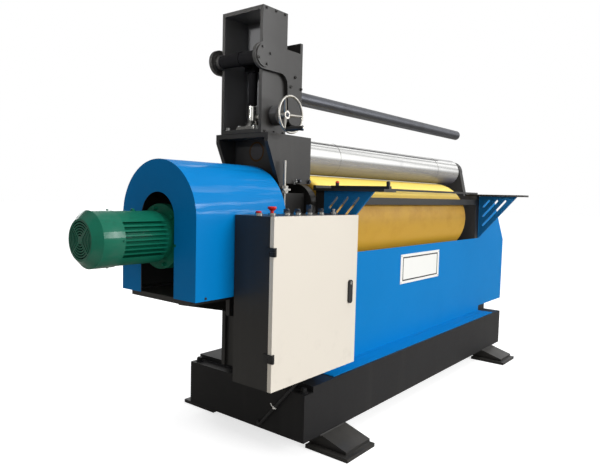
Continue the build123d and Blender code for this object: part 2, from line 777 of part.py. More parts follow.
# Drive
def make_cover():
    def arch(half, top_z, x0, x1, low):
        return block(x0, x1, -half, half, low, top_z) + bar_x(x0, x1, half, 0, top_z)

    outer = arch(cover_half, cover_arch_z, cover_x0, cover_x1, platform_top_z)
    inner = arch(cover_half - cover_sheet, cover_arch_z, cover_x0 + cover_sheet, cover_x1, platform_top_z)
    slot = arch(slot_half, slot_arch_z, cover_x0, cover_x0 + cover_sheet, platform_top_z)
    flange = block(cover_x0, cover_x1, -cover_half, cover_flange_w - cover_half, platform_top_z,
                   platform_top_z + cover_sheet)
    save("drive_cover", outer - inner - slot + flange + mirrored(flange))
    low = platform_top_z - platform_t
    deck_x0 = cover_x0 + platform_end_inset
    deck_half = cover_half - platform_inset
    deck = block(deck_x0, x_col, -deck_half, deck_half, low, platform_top_z)
    tip_x = x_col - platform_bracket_len
    bracket = plate_xz([(tip_x, low - platform_bracket_tip), (tip_x, low), (x_col, low),
                        (x_col, low - platform_bracket_root)], -housing_half, cheek_t - housing_half)
    save("drive_platform", deck, bracket, mirrored(bracket))


def cowl_form(x0, x1, r, bevel):
    """A drum on the motor's axis with its rear rim bevelled."""
    drum = bar_x(x0, x1, r, 0, motor_axis_z)
    rim = [e for e in drum.edges() if e.geom_type == GeomType.CIRCLE and abs(e.center().X - x0) < 1]
    return chamfer(rim, bevel)


def make_motor():
    x_shield = x_flange - motor_shield_len
    x_body = x_shield - motor_body_len
    x_tail = x_body - cowl_len
    flange = bar_x(x_flange, x_flange + motor_flange_t, motor_flange_r, 0, motor_axis_z)
    shield = cone_x(x_shield, x_flange, motor_core_r, motor_shield_r, motor_axis_z)
    body = bar_x(x_body, x_shield, motor_drum_r, 0, motor_axis_z)
    core = bar_x(x_body, x_shield, motor_core_r, 0, motor_axis_z)
    low = motor_axis_z - (motor_groove_count - 1) * motor_groove_pitch / 2 - motor_groove_w / 2
    for turn in range(motor_groove_count):
        z = low + turn * motor_groove_pitch
        body -= block(x_body, x_shield, -motor_drum_r, motor_drum_r, z, z + motor_groove_w) - core
    box_x = (x_body + x_shield) / 2
    terminal = block(box_x - terminal_len / 2, box_x + terminal_len / 2, motor_core_r,
                     motor_drum_r + terminal_h, motor_axis_z - terminal_w / 2, motor_axis_z + terminal_w / 2)
    bearing = fan_shaft_r + running_fit
    seat = bar_x(x_body, x_body + fan_t, bearing, 0, motor_axis_z)
    save("motor_body", flange + shield + body + terminal - seat)

    cowl = cowl_form(x_tail, x_body, cowl_r, cowl_bevel)
    inner_bevel = cowl_bevel - cowl_sheet * (2 - math.sqrt(2))
    cowl -= cowl_form(x_tail + cowl_sheet, x_body, cowl_r - cowl_sheet, inner_bevel)
    rings = None
    for turn in range(cowl_ring_count):
        r0 = cowl_hub_r + turn * cowl_ring_pitch
        ring = bar_x(x_tail, x_tail + cowl_sheet, r0 + cowl_ring_gap, 0, motor_axis_z)
        ring -= bar_x(x_tail, x_tail + cowl_sheet, r0, 0, motor_axis_z)
        rings = ring if rings is None else rings + ring
    for turn in range(2):
        bar = block(x_tail, x_tail + cowl_sheet, -cowl_bar_w / 2, cowl_bar_w / 2, -cowl_r, cowl_r)
        rings -= Pos(0, 0, motor_axis_z) * Rot(45 + 90 * turn, 0, 0) * bar
    root = bar_x(x_body - cowl_root_len, x_body, cowl_r, 0, motor_axis_z)
    root -= bar_x(x_body - cowl_root_len, x_body, cowl_r - cowl_root_t, 0, motor_axis_z)
    save("fan_cowl", cowl - rings + root)

    fan_x1 = x_body - cowl_root_len - slide_fit
    fan_x0 = fan_x1 - fan_t
    fan = bar_x(fan_x0, fan_x1, fan_hub_r, 0, motor_axis_z)
    fan += bar_x(fan_x1 - fan_blade_t, fan_x1, fan_r, 0, motor_axis_z)
    blade = block(fan_x0, fan_x1, -fan_blade_t / 2, fan_blade_t / 2, fan_hub_r - fan_blade_t, fan_r)
    for turn in range(fan_blades):
        fan += Pos(0, 0, motor_axis_z) * Rot(360 / fan_blades * turn, 0, 0) * blade
    fan += bar_x(fan_x1, x_body + fan_t, fan_shaft_r, 0, motor_axis_z)
    save("motor_fan", fan)


def make_reducer():
    x0 = x_flange + motor_flange_t
    neck = bar_x(x0, x0 + motor_flange_t, motor_flange_r, 0, motor_axis_z)
    small = Plane(origin=(x0 + motor_flange_t, 0, motor_axis_z), z_dir=(1, 0, 0)) * Circle(neck_r)
    large = Plane(origin=(x_case0, 0, lower_axis_z), z_dir=(1, 0, 0)) * Circle(case_r)
    neck += loft([small, large], ruled=True)
    case = bar_x(x_case0, x_case1, case_r, 0, lower_axis_z)
    case = fillet([e for e in case.edges() if e.geom_type == GeomType.CIRCLE], case_round)
    low = lower_axis_z - torque_arm_drop
    arm = block(x_case1 - case_len / 2, x_chock0, -torque_arm_w / 2, torque_arm_w / 2, low,
                low + torque_arm_h)
    bore_r = drive_journal_d / 2 + running_fit
    bore = bar_x(x_case1 - reducer_bore_deep, x_case1, bore_r, 0, lower_axis_z)
    save("reducer", neck + case + arm - bore)


# Sheet panels
def make_panels():
    x0 = x_house - panel_left
    x1 = x_plate_out + panel_right
    step_x = x_house + panel_step
    sheet = plate_xz([(x0, deck_z), (x1, deck_z), (x1, panel_top_z), (step_x, panel_top_z),
                      (step_x, panel_step_z), (x0, panel_step_z)], -panel_y, panel_sheet - panel_y)
    sheet += block(x0, x1, panel_flange_margin - base_depth / 2, -panel_y, deck_z, deck_z + panel_sheet)
    save("front_panel", sheet)
    save("rear_panel", mirrored(sheet))
    edge = panel_y
    inner = panel_y - panel_sheet
    gx0 = x_plate_out + guard_plate_gap
    gx1 = gx0 + guard_len
    outline = [(x1, guard_low_z), (gx1, guard_low_z), (gx1, guard_edge_z), (gx1 - guard_slope, guard_top_z),
               (gx0, guard_top_z), (gx0, panel_top_z), (x1, panel_top_z)]
    front = plate_xz(outline, -edge, -inner)
    end = block(gx1 - panel_sheet, gx1, -inner, inner, guard_low_z, guard_edge_z)
    save("drop_guard", front + end + mirrored(front))
    save("blank_plate", block(name_plate_x - name_plate_w / 2, name_plate_x + name_plate_w / 2,
                              -panel_y - name_plate_t, -panel_y, name_plate_z - name_plate_h / 2,
                              name_plate_z + name_plate_h / 2))


# Feed table
def gusset(x0, back):
    """A triangular bracket plate with slots beside its sloping edge, from near the back to near the top."""
    front = -panel_y - gusset_reach
    plate = plate_yz([(back, gusset_low_z), (back, shelf_z), (front, shelf_z)], x0, x0 + gusset_t)
    slope = math.atan2(shelf_z - gusset_low_z, back - front)
    rise = math.sin(slope)
    run = math.cos(slope)
    for row in range(slot_count):
        away = slot_edge + slot_pitch * row
        high = (slot_top_gap + away * run) / rise
        low = (back - slot_back_gap - front - away * rise) / run
        middle = (high + low) / 2
        y = front + away * rise + middle * run
        z = shelf_z + away * run - middle * rise
        slot = extrude(Rot(0, 0, 90) * SlotCenterToCenter(low - high, slot_w), amount=gusset_t, both=True)
        plate -= Pos(x0 + gusset_t / 2, y, z) * Rot(-math.degrees(slope), 0, 0) * Rot(0, 90, 0) * slot
    return plate


def make_feed_table():
    back = panel_sheet - panel_y
    post_x0 = x_house + post_gap
    post_x1 = post_x0 + gusset_t
    save("table_gussets", gusset(post_x0, back), gusset(x_plate_out, -panel_y))
    left_x = x_house - shelf_left_lap
    top = shelf_z + shelf_t
    save("table_shelves", block(left_x, left_x + shelf_w, -shelf_front, -shelf_back, shelf_z, top),
         block(x_plate, x_plate + shelf_w, -shelf_front, -right_shelf_back, shelf_z, top))
    post = block(post_x0, post_x1, back, back + post_depth, deck_z, shelf_z)
    cross = block(post_x1, x_plate, back, back + cross_bar_t, cross_bar_low_z, cross_bar_low_z + cross_bar_h)
    guide = block(left_x, x_plate + shelf_w, -shelf_back - guide_bar_w, -shelf_back, top, top + guide_bar_h)
    save("table_frame", post, cross, guide)
    guide_x = left_x + shelf_w / 2
    fence = block(guide_x - side_guide_w / 2, guide_x + side_guide_w / 2, -shelf_front,
                  -shelf_front + side_guide_len, top, top + guide_bar_h)
    front_inset, back_inset = stud_insets
    for y in (-shelf_front + front_inset, -shelf_front + side_guide_len - back_inset):
        fence += bar_z(top + guide_bar_h, top + guide_bar_h + stud_h, stud_r, guide_x, y)
    save("side_guide", fence)


# Limit rod
def make_head_fittings():
    x = x_jamb + limit_nut_r / 2
    y = -housing_half - limit_out
    tab_z = window_top_z - limit_tab_drop
    tab_top = tab_z + limit_tab_t
    tab = block(x - limit_tab_w / 2, x + limit_tab_w / 2, y - limit_nut_r, -housing_half, tab_z, tab_top)
    tab -= bar_z(tab_z, tab_top, limit_rod_r, x, y)
    rod_top = tab_z + limit_rod_rise
    rod = bar_z(rod_top - limit_rod_len, rod_top, limit_rod_r, x, y)
    nuts = []
    for z in (tab_z - limit_nut_h, tab_top):
        nut = hexagon(z, z + limit_nut_h, limit_nut_r, x, y)
        nuts.append(nut - bar_z(z, z + limit_nut_h, limit_rod_r, x, y))
    save("limit_rod", tab, rod, *nuts)


# Control cabinet
def make_cabinet():
    shell = block(cabinet_x0, cabinet_x1, -cabinet_front, -cabinet_back, cabinet_low_z, cabinet_z1)
    shell -= block(cabinet_x0 + cabinet_wall, cabinet_x1 - cabinet_wall, -cabinet_front,
                   -cabinet_back - cabinet_wall, cabinet_low_z + cabinet_wall, cabinet_z1 - cabinet_wall)
    save("cabinet_body", shell)
    door = block(cabinet_x0, cabinet_x1, -door_front, -door_back, cabinet_low_z, cabinet_z1)
    door -= block(cabinet_x0 + door_skin, cabinet_x1 - door_skin, -door_front + door_skin, -door_back,
                  cabinet_low_z + door_skin, cabinet_z1 - door_skin)
    axis_x = cabinet_x0 + hinge_in
    axis_y = -door_front - hinge_out
    body_leaves = []
    door_leaves = []
    leaf_x = cabinet_x0 - cap_fit
    for z in hinge_zs:
        low_z = z - hinge_h / 2
        top_z = z + hinge_h / 2
        knuckle = bar_z(z, top_z, hinge_r, axis_x, axis_y)
        side = block(leaf_x - hinge_leaf_t, leaf_x, -door_back, -cabinet_front + hinge_seat_w, low_z, top_z)
        side += block(leaf_x - hinge_leaf_t, leaf_x, axis_y, -door_back, z + cap_fit, top_z)
        tie = block(leaf_x - hinge_leaf_t, axis_x, axis_y - hinge_leaf_t, axis_y, z + cap_fit, top_z)
        seat = block(leaf_x, cabinet_x0, -cabinet_front, -cabinet_front + hinge_seat_w, low_z, top_z)
        pin = bar_z(low_z, top_z, hinge_pin_r, axis_x, axis_y)
        body_leaves.append(side + seat + tie + knuckle + pin)
        face_y = -door_front - hinge_leaf_t
        leaf = block(leaf_x - hinge_leaf_t, axis_x + hinge_leaf_w, face_y, -door_front, low_z, z - cap_fit)
        leaf += block(leaf_x - hinge_leaf_t, cabinet_x0, -door_front, -door_back - hinge_wrap_gap, low_z,
                      z - cap_fit)
        leaf += block(axis_x + hinge_r + cap_fit, axis_x + hinge_leaf_w, face_y, -door_front, low_z, top_z)
        leaf += bar_z(low_z, z - cap_fit, hinge_r, axis_x, axis_y)
        door_leaves.append(leaf - bar_z(low_z, z, hinge_pin_r + running_fit, axis_x, axis_y))
    save("hinge_body_leaves", *body_leaves)
    save("hinge_door_leaves", *door_leaves)

    lock_x = cabinet_x1 - lock_inset
    pivot = lock_top_z - lock_w / 2
    handle = block(lock_x - lock_w / 2, lock_x + lock_w / 2, -door_front - cap_fit - lock_t,
                   -door_front - cap_fit, lock_top_z - lock_h, lock_top_z)
    handle = fillet(handle.edges().filter_by(Axis.Y), lock_round)
    stem = bar_y(-door_front - cap_fit, -door_back, lock_stem_r, lock_x, pivot)
    save("lock_handle", handle + stem)
    door_hole = bar_y(-door_front, -door_front + door_skin, lock_stem_r + running_fit, lock_x, pivot)
    save("cabinet_door", door - door_hole)

    standoffs = []
    left = x_col + web_inset
    for z in bracket_zs:
        standoffs.append(block(left, left + bracket_w, -cabinet_back, -housing_half, z, z + bracket_h))
    save("cabinet_brackets", *standoffs)
    make_control_gear()
    make_console()


def make_control_gear():
    """The mounting plate behind the door, with drive, contactors and terminal row."""
    back = -cabinet_back - cabinet_wall - board_standoff
    x0 = cabinet_x0 + cabinet_wall + board_margin
    x1 = cabinet_x1 - cabinet_wall - board_margin
    z0 = cabinet_low_z + cabinet_wall + board_margin
    z1 = cabinet_z1 - cabinet_wall - board_margin
    board = block(x0, x1, back - board_t, back, z0, z1)
    for x in (x0 + board_margin, x1 - board_margin):
        for z in (z0 + board_margin, z1 - board_margin):
            board += bar_y(back, back + board_standoff, board_standoff, x, z)
    face = back - board_t
    wide = x1 - x0
    tall = z1 - z0
    edge = wide * board_edge_share
    drive_z1 = z1 - tall * board_edge_share
    drive = block(x0 + edge, x0 + edge + wide * drive_width_share, face - cabinet_deep * drive_depth_share,
                  face, drive_z1 - tall * drive_height_share, drive_z1)
    gear = [board, drive]
    low = z0 + tall * contactor_low_share
    for turn in range(contactor_count):
        left = x0 + wide * (contactor_from_share + contactor_pitch_share * turn)
        front = face - cabinet_deep * contactor_depth_share
        gear.append(block(left, left + wide * contactor_width_share, front, face, low,
                          low + tall * contactor_height_share))
    low = z0 + tall * terminal_low_share
    gear.append(block(x0 + edge, x1 - edge, face - cabinet_deep * terminal_depth_share, face, low,
                      low + tall * terminal_height_share))
    save("control_gear", *gear)


def make_console():
    """Buttons and switches in a row on the cabinet's top."""
    top = cabinet_z1
    bezels = []
    y = -console_y
    places = [cabinet_x0 + share * cabinet_w for share in console_shares]
    for x in places:
        bezels.append(bar_z(top, top + bezel_h, bezel_r, x, y))
    red, stop, first, second, tall, third, lamp = places
    fit_r = button_r + cap_fit
    bezels[0] -= bar_z(top, top + bezel_h, fit_r, red, y)
    bezels[1] -= bar_z(top, top + bezel_h, estop_stem_r + cap_fit, stop, y)
    for index in (2, 3, 4, 5):
        stem_r = knob_bar_w / 2 + cap_fit
        bezels[index] -= bar_z(top, top + bezel_h, stem_r, places[index], y)
    bezels[6] += bar_z(top + bezel_h, top + bezel_h + lamp_h, lamp_r, lamp, y)
    save("console_bezels", *bezels)
    floor = top + cap_fit
    save("red_button", bar_z(floor + button_travel, floor + button_travel + button_h, button_r, red, y))
    stem = bar_z(floor + estop_travel, floor + estop_travel + estop_stem_h, estop_stem_r, stop, y)
    head_z0 = floor + estop_travel + estop_stem_h
    head = Pos(stop, y, head_z0) * Cone(estop_neck_r, estop_r, estop_head_h - estop_cap_h, align=CENTRE_LOW)
    cap = bar_z(head_z0 + estop_head_h - estop_cap_h, head_z0 + estop_head_h, estop_r, stop, y)
    rim = cap.faces().sort_by(Axis.Z)[-1].edges()
    save("estop_button", stem + head + fillet(rim, estop_round))
    for name, x, high in (("selector_1", first, knob_h), ("selector_2", second, knob_h),
                          ("speed_knob", tall, tall_knob_h), ("selector_3", third, knob_h)):
        base = top + bezel_h + cap_fit
        knob = bar_z(base, base + high / 2, knob_r, x, y)
        knob += block(x - knob_bar_w / 2, x + knob_bar_w / 2, y - knob_r, y + knob_r, base + high / 2,
                      base + high)
        knob += bar_z(top + cap_fit, base, knob_bar_w / 2, x, y)
        save(name, knob)


# Conduit
def make_conduit():
    x = base_x0 - conduit_out
    start = Vector(x, -conduit_top_y, cabinet_low_z - gland_len)
    knee = Vector(x, -conduit_top_y, cabinet_low_z - gland_len - conduit_drop)
    low = Vector(x, -conduit_low_y, conduit_low_z)
    stop = Vector(base_x0 - gland_len / 2, -conduit_low_y + conduit_out, conduit_low_z)
    path = FilletPolyline(start, knee, low, stop, radius=list(conduit_bends))
    tube = sweep(Plane(origin=start, z_dir=(0, 0, -1)) * Circle(conduit_r), path=path)
    print("conduit length", round(path.length, 1), "bend radii", conduit_bends, "volume ratio",
          round(tube.volume / (math.pi * conduit_r ** 2 * path.length), 4))
    top_gland = bar_z(cabinet_low_z - gland_len, cabinet_low_z, gland_r, x, -conduit_top_y)
    low_gland = bar_x(base_x0 - gland_len / 2, base_x0, gland_r, stop.Y, conduit_low_z)
    save("cable_conduit", tube, top_gland, low_gland)


os.makedirs("parts", exist_ok=True)
make_base()
make_feet()
make_housing()
make_rolls()
make_chocks()
make_drop_end()
make_tower()
make_arm()
make_handwheel()
make_cover()
make_motor()
make_reducer()
make_panels()
make_feed_table()
make_head_fittings()
make_cabinet()
make_conduit()
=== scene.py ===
"""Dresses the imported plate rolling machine: finishes, small fittings, floor, light and camera."""
import logging
import math
from dataclasses import dataclass, replace
from enum import Enum
from itertools import product
from typing import Any, Iterable, Sequence

import bmesh
import bpy
from mathutils import Matrix, Vector


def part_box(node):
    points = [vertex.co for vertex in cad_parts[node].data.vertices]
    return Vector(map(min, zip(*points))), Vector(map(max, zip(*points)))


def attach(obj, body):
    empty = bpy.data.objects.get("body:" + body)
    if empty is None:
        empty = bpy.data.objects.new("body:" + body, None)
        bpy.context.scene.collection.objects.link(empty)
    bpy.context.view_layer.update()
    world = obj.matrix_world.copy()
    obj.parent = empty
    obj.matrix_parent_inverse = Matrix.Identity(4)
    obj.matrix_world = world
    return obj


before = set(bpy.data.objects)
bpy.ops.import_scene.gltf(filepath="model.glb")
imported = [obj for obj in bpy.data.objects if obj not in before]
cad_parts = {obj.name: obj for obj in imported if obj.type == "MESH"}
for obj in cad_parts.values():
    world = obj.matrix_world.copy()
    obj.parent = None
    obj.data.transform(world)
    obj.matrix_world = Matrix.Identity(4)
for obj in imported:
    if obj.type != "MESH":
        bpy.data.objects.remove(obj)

LOG = logging.getLogger("machine")
MM = 0.001
FINE_DEPTH = 0.0002  # fine lines and grain, in metres
CREASE = math.radians(34)  # edges of fitted pieces above this stay sharp
BREAK_ANGLE = math.radians(42)  # edges of solids above this are broken
MERGE_GAP = 0.001 * MM
Pair = tuple[float, float]
Point = tuple[float, float, float]
Colour = tuple[float, float, float]
Profile = tuple[Pair, ...]  # radius and height pairs, low end first


def srgb(red: float, green: float, blue: float) -> Colour:
    """Turns a screen colour of 0 to 255 into the linear values a shader takes.

    Args:
        red: Red part.
        green: Green part.
        blue: Blue part.

    Returns:
        The linear colour.
    """
    def linear(part: float) -> float:
        """Linear value of one part, by the standard screen curve."""
        part /= 255.0
        return part / 12.92 if part <= 0.04045 else ((part + 0.055) / 1.055) ** 2.4
    return linear(red), linear(green), linear(blue)


def shaded(colour: Colour, share: float) -> Colour:
    """A colour with each of its parts times that share."""
    return tuple(share * part for part in colour)


def inset(run: Pair, margin: float) -> Pair:
    """A run made shorter by a margin at both ends."""
    return run[0] + margin, run[1] - margin


def circle(count: int, radius: float, start: float = 0.5) -> list[Pair]:
    """Even places round a circle.

    Args:
        count: How many places.
        radius: The circle's radius.
        start: Where the first one lies, in steps.

    Returns:
        Each place's distance across and up.
    """
    turns = [math.tau * (step + start) / count for step in range(count)]
    return [(radius * math.cos(turn), radius * math.sin(turn)) for turn in turns]


# The first grey is painted shade and light for inward faces: it darkens the inside of the blue cover and
# lightens the inside of the black tower and housings.
PAINTED_INSIDE_GREY = srgb(74, 74, 75)
CHIPPED = srgb(104, 100, 96)
SCUFFED = srgb(120, 112, 100)
GRIME = srgb(16, 40, 34)
GREASE = srgb(30, 26, 23)
DUST = srgb(150, 146, 138)


class Axis(Enum):
    """The six directions a fitting can face."""

    LEFT = (-1, 0, 0)
    RIGHT = (1, 0, 0)
    FRONT = (0, -1, 0)
    BACK = (0, 1, 0)
    UP = (0, 0, 1)
    DOWN = (0, 0, -1)

    def turn(self) -> Matrix:
        """Rotation that takes +Z to this direction."""
        return Vector((0, 0, 1)).rotation_difference(Vector(self.value)).to_matrix().to_4x4()


SIDES = ((-1, Axis.FRONT), (1, Axis.BACK))


class Reach(Enum):
    """What a lamp's light is seen in."""

    ALL = "all"
    GLOSS = "gloss"
    MATT = "matt"


class Value:
    """A number that changes over a surface, with plain arithmetic that adds Math nodes."""

    def __init__(self, shader: "Nodes", socket: bpy.types.NodeSocket) -> None:
        """Wraps an output socket of a node tree."""
        self.shader = shader
        self.socket = socket

    def math(self, operation: str, *others: Any, clamp: bool = False) -> "Value":
        """Adds one Math node.

        Args:
            operation: The node's operation.
            others: The values after this one.
            clamp: Whether the result stays between 0 and 1.

        Returns:
            The node's result.
        """
        inputs = dict(enumerate((self, *others)))
        node = self.shader.node("ShaderNodeMath", {"operation": operation, "use_clamp": clamp}, inputs)
        return Value(self.shader, node.outputs[0])

    def __add__(self, other: Any) -> "Value":
        """Sum."""
        return self.math("ADD", other)

    __radd__ = __add__

    def __sub__(self, other: Any) -> "Value":
        """Difference."""
        return self.math("SUBTRACT", other)

    def __rsub__(self, other: Any) -> "Value":
        """Difference, with this value taken away."""
        return self.shader.constant(other).math("SUBTRACT", self)

    def __mul__(self, other: Any) -> "Value":
        """Product."""
        return self.math("MULTIPLY", other)

    __rmul__ = __mul__

    def __truediv__(self, other: Any) -> "Value":
        """Quotient."""
        return self.math("DIVIDE", other)

    def clamped(self) -> "Value":
        """This value kept between 0 and 1."""
        return self.math("ADD", 0.0, clamp=True)

    def band(self, low: float, high: float) -> "Value":
        """A smooth step.

        Args:
            low: Where the result is 0.
            high: Where the result is 1.

        Returns:
            The step.
        """
        return ((self - low) / (high - low)).clamped()


class Nodes:
    """A node tree under construction."""

    def __init__(self, tree: bpy.types.NodeTree) -> None:
        """Starts from that tree, emptied."""
        self.tree = tree
        self.tree.nodes.clear()

    def node(self, kind: str, settings: dict[str, Any] | None = None,
             inputs: dict[Any, Any] | None = None) -> bpy.types.Node:
        """Adds a node.

        Args:
            kind: The node's type.
            settings: Properties that are set first.
            inputs: Values or links for its sockets, by name or number.

        Returns:
            The node.
        """
        node = self.tree.nodes.new(kind)
        for key, value in (settings or {}).items():
            setattr(node, key, value)
        for key, value in (inputs or {}).items():
            self._feed(node.inputs[key], value)
        return node

    def _feed(self, socket: bpy.types.NodeSocket, value: Any) -> None:
        """Links or sets one input.

        Args:
            socket: The input.
            value: A Value, a socket, a number or a colour.
        """
        if isinstance(value, Value):
            value = value.socket
        if isinstance(value, bpy.types.NodeSocket):
            self.tree.links.new(value, socket)
        elif isinstance(value, (tuple, list)) and socket.type == "RGBA" and len(value) == 3:
            socket.default_value = (*value, 1.0)
        else:
            socket.default_value = value

    def constant(self, number: float) -> Value:
        """A number as the start of an expression."""
        node = self.node("ShaderNodeMath", {"operation": "ADD"}, {0: number, 1: 0.0})
        return Value(self, node.outputs[0])

    def part(self, vector: bpy.types.NodeSocket, letter: str) -> Value:
        """One coordinate of a vector."""
        return Value(self, self.node("ShaderNodeSeparateXYZ", None, {0: vector}).outputs[letter])

    def ray(self, kind: str) -> Value:
        """Whether light is traced for one use, such as "Is Camera Ray"."""
        return Value(self, self.node("ShaderNodeLightPath").outputs[kind])


class Surround(Nodes):
    """The node tree of the studio's surround."""

    def __init__(self, name: str) -> None:
        """Starts an empty surround.

        Args:
            name: The surround's name.
        """
        self.world = bpy.data.worlds.new(name)
        self.world.use_nodes = True
        super().__init__(self.world.node_tree)
        self.way = self.node("ShaderNodeTexCoord").outputs["Generated"]

    def toward(self, side: Point) -> Value:
        """How far the way out leans to one side, from -1 to 1."""
        node = self.node("ShaderNodeVectorMath", {"operation": "DOT_PRODUCT"}, {0: self.way, 1: side})
        return Value(self, node.outputs["Value"])

    def shine(self, strength: Value) -> bpy.types.World:
        """Ends the surround in white light.

        Args:
            strength: How strong the light is.

        Returns:
            The finished surround.
        """
        light = self.node("ShaderNodeBackground", None, {"Color": (1.0, 1.0, 1.0), "Strength": strength})
        self.node("ShaderNodeOutputWorld", None, {0: light.outputs[0]})
        return self.world


class Shader(Nodes):
    """One material's node tree."""

    def __init__(self, name: str) -> None:
        """Starts an empty material.

        Args:
            name: The material's name.
        """
        self.material = bpy.data.materials.new(name)
        self.material.use_nodes = True
        super().__init__(self.material.node_tree)
        self.place = self.node("ShaderNodeTexCoord").outputs["Object"]

    def stretched(self, scale: Point) -> bpy.types.NodeSocket:
        """The surface's place with each axis scaled.

        Args:
            scale: Factors along X, Y and Z.

        Returns:
            The scaled place.
        """
        node = self.node("ShaderNodeVectorMath", {"operation": "MULTIPLY"}, {0: self.place, 1: scale})
        return node.outputs[0]

    def axis(self, letter: str) -> Value:
        """One coordinate of the surface's place, in metres."""
        return self.part(self.place, letter)

    def facing(self, letter: str) -> Value:
        """One part of the surface's own normal."""
        return self.part(self.node("ShaderNodeTexCoord").outputs["Normal"], letter)

    def inward(self, middle: Point) -> Value:
        """Where the surface faces that point, as the inside of a cover does: 1 there and 0 elsewhere."""
        away = sum((self.axis(letter) - at) * self.facing(letter) for letter, at in zip("XYZ", middle))
        return 1 - away.band(-0.01, 0.01)

    def noise(self, scale: float, detail: float = 3.0, rough: float = 0.55,
              stretch: Point | None = None) -> Value:
        """Cloudy noise.

        Args:
            scale: Features per metre.
            detail: Octaves.
            rough: Weight of the finer octaves.
            stretch: Factors along X, Y and Z, for drawn-out noise.

        Returns:
            The noise, from 0 to 1.
        """
        place = self.stretched(stretch) if stretch else self.place
        node = self.node("ShaderNodeTexNoise", None,
                         {"Vector": place, "Scale": scale, "Detail": detail, "Roughness": rough})
        return Value(self, node.outputs[0])

    def cells(self, scale: float) -> Value:
        """Distance to the middle of scattered cells, features per metre."""
        node = self.node("ShaderNodeTexVoronoi", None, {"Vector": self.place, "Scale": scale})
        return Value(self, node.outputs["Distance"])

    def rings(self) -> Value:
        """Fine lines round the X axis, as grinding and turning leave them."""
        return self.noise(1.0, 4.0, 0.7, stretch=(420.0, 3.0, 3.0))

    def mix(self, factor: Any, first: Any, second: Any) -> bpy.types.NodeSocket:
        """Lays one colour over another.

        Args:
            factor: How much of the second shows.
            first: The lower colour.
            second: The upper colour.

        Returns:
            The colour.
        """
        node = self.node("ShaderNodeMix", {"data_type": "RGBA", "clamp_factor": True},
                         {0: factor, 6: first, 7: second})
        return node.outputs[2]

    def mottled(self, mask: Value, colour: Colour, share: float) -> bpy.types.NodeSocket:
        """A colour that takes a share of itself where the mask is high."""
        return self.mix(mask, colour, shaded(colour, share))

    def bump(self, height: Value, strength: float, depth: float) -> bpy.types.NodeSocket:
        """A normal from a height.

        Args:
            height: The height, from 0 to 1.
            strength: How much it shows.
            depth: Its real depth in metres.

        Returns:
            The normal.
        """
        node = self.node("ShaderNodeBump", None, {"Strength": strength, "Distance": depth, "Height": height})
        return node.outputs[0]

    def surface(self, **inputs: Any) -> bpy.types.Material:
        """Ends the material in one principled shader.

        Args:
            inputs: Its sockets, with underscores for spaces.

        Returns:
            The finished material.
        """
        named = {key.replace("_", " "): value for key, value in inputs.items()}
        return self.ended(self.node("ShaderNodeBsdfPrincipled", None, named))

    def ended(self, body: bpy.types.Node) -> bpy.types.Material:
        """The finished material, which ends in that shader node."""
        self.node("ShaderNodeOutputMaterial", None, {0: body.outputs[0]})
        return self.material


@dataclass(frozen=True)
class SprayPaint:
    """Paint sprayed on steel: orange peel, soft dust, uneven colour, small chips and long glossy streaks."""

    name: str
    colour: Colour
    dust: Colour
    rough: float = 0.36
    peel: float = 0.10
    dusty: float = 0.18
    coat: float = 0.15
    gleam: float = 0.45
    streaks: float = 0.12
    chips: float = 0.35
    hollow: Point | None = None
    depth: float = 0.0006

    def material(self) -> bpy.types.Material:
        """Builds the paint, with painted grey on faces turned in to a point: painted shade on blue, light on
        black.

        Returns:
            The material.
        """
        shader = Shader(self.name)
        cloud = shader.noise(2.2, 4.0)
        fine = shader.noise(60.0, 3.0)
        tone = shader.mottled(cloud.band(0.35, 0.75) * 0.35, self.colour, 0.82)
        settled = shader.facing("Z").band(0.35, 1.0) * shader.noise(5.0, 5.0).band(0.3, 0.7)
        streak = shader.noise(9.0, 3.0, stretch=(1.0, 1.0, 0.08)).band(0.55, 0.85)
        veil = (settled * 0.8 + streak * 0.35 + 0.12) * self.dusty
        peel = shader.noise(260.0, 2.0) * 0.7 + fine * 0.3
        wiped = shader.noise(1.0, 3.0, 0.6, stretch=(2.2, 34.0, 34.0)).band(0.52, 0.68)
        wiped = wiped * shader.facing("Z").band(0.0, 0.15)
        knocked = shader.noise(4.0, 4.0).band(0.56, 0.64)
        chip = (1 - shader.cells(34.0).band(0.02, 0.05)) * knocked * self.chips
        tone = shader.mix(chip, shader.mix(veil, tone, self.dust), CHIPPED)
        # Painted shade and light: faces turned in toward the point take the flat grey.
        if self.hollow:
            tone = shader.mix(shader.inward(self.hollow), tone, PAINTED_INSIDE_GREY)
        return shader.surface(
            Base_Color=tone, Roughness=self.rough + 0.16 * cloud + 0.08 * fine,
            Coat_Weight=self.coat + self.streaks * wiped, Coat_Roughness=0.13, Specular_IOR_Level=self.gleam,
            Normal=shader.bump(peel, self.peel, self.depth))


@dataclass(frozen=True)
class PowderCoat:
    """Fine textured powder coat, as on a cabinet door."""

    name: str
    colour: Colour
    rough: float = 0.5
    depth: float = 0.0005

    def material(self) -> bpy.types.Material:
        """Builds the coat.

        Returns:
            The material.
        """
        shader = Shader(self.name)
        cloud = shader.noise(1.6, 3.0)
        grain = shader.cells(520.0) * 0.6 + shader.noise(700.0, 2.0) * 0.5
        tone = shader.mottled(cloud.band(0.4, 0.8) * 0.3, self.colour, 0.93)
        low = 1 - shader.axis("Z").band(0.36, 0.62)
        scuff = low * shader.noise(14.0, 5.0).band(0.55, 0.75) * 0.16
        return shader.surface(Base_Color=shader.mix(scuff, tone, SCUFFED), Roughness=self.rough + 0.1 * cloud,
                              Normal=shader.bump(grain, 0.12, self.depth))


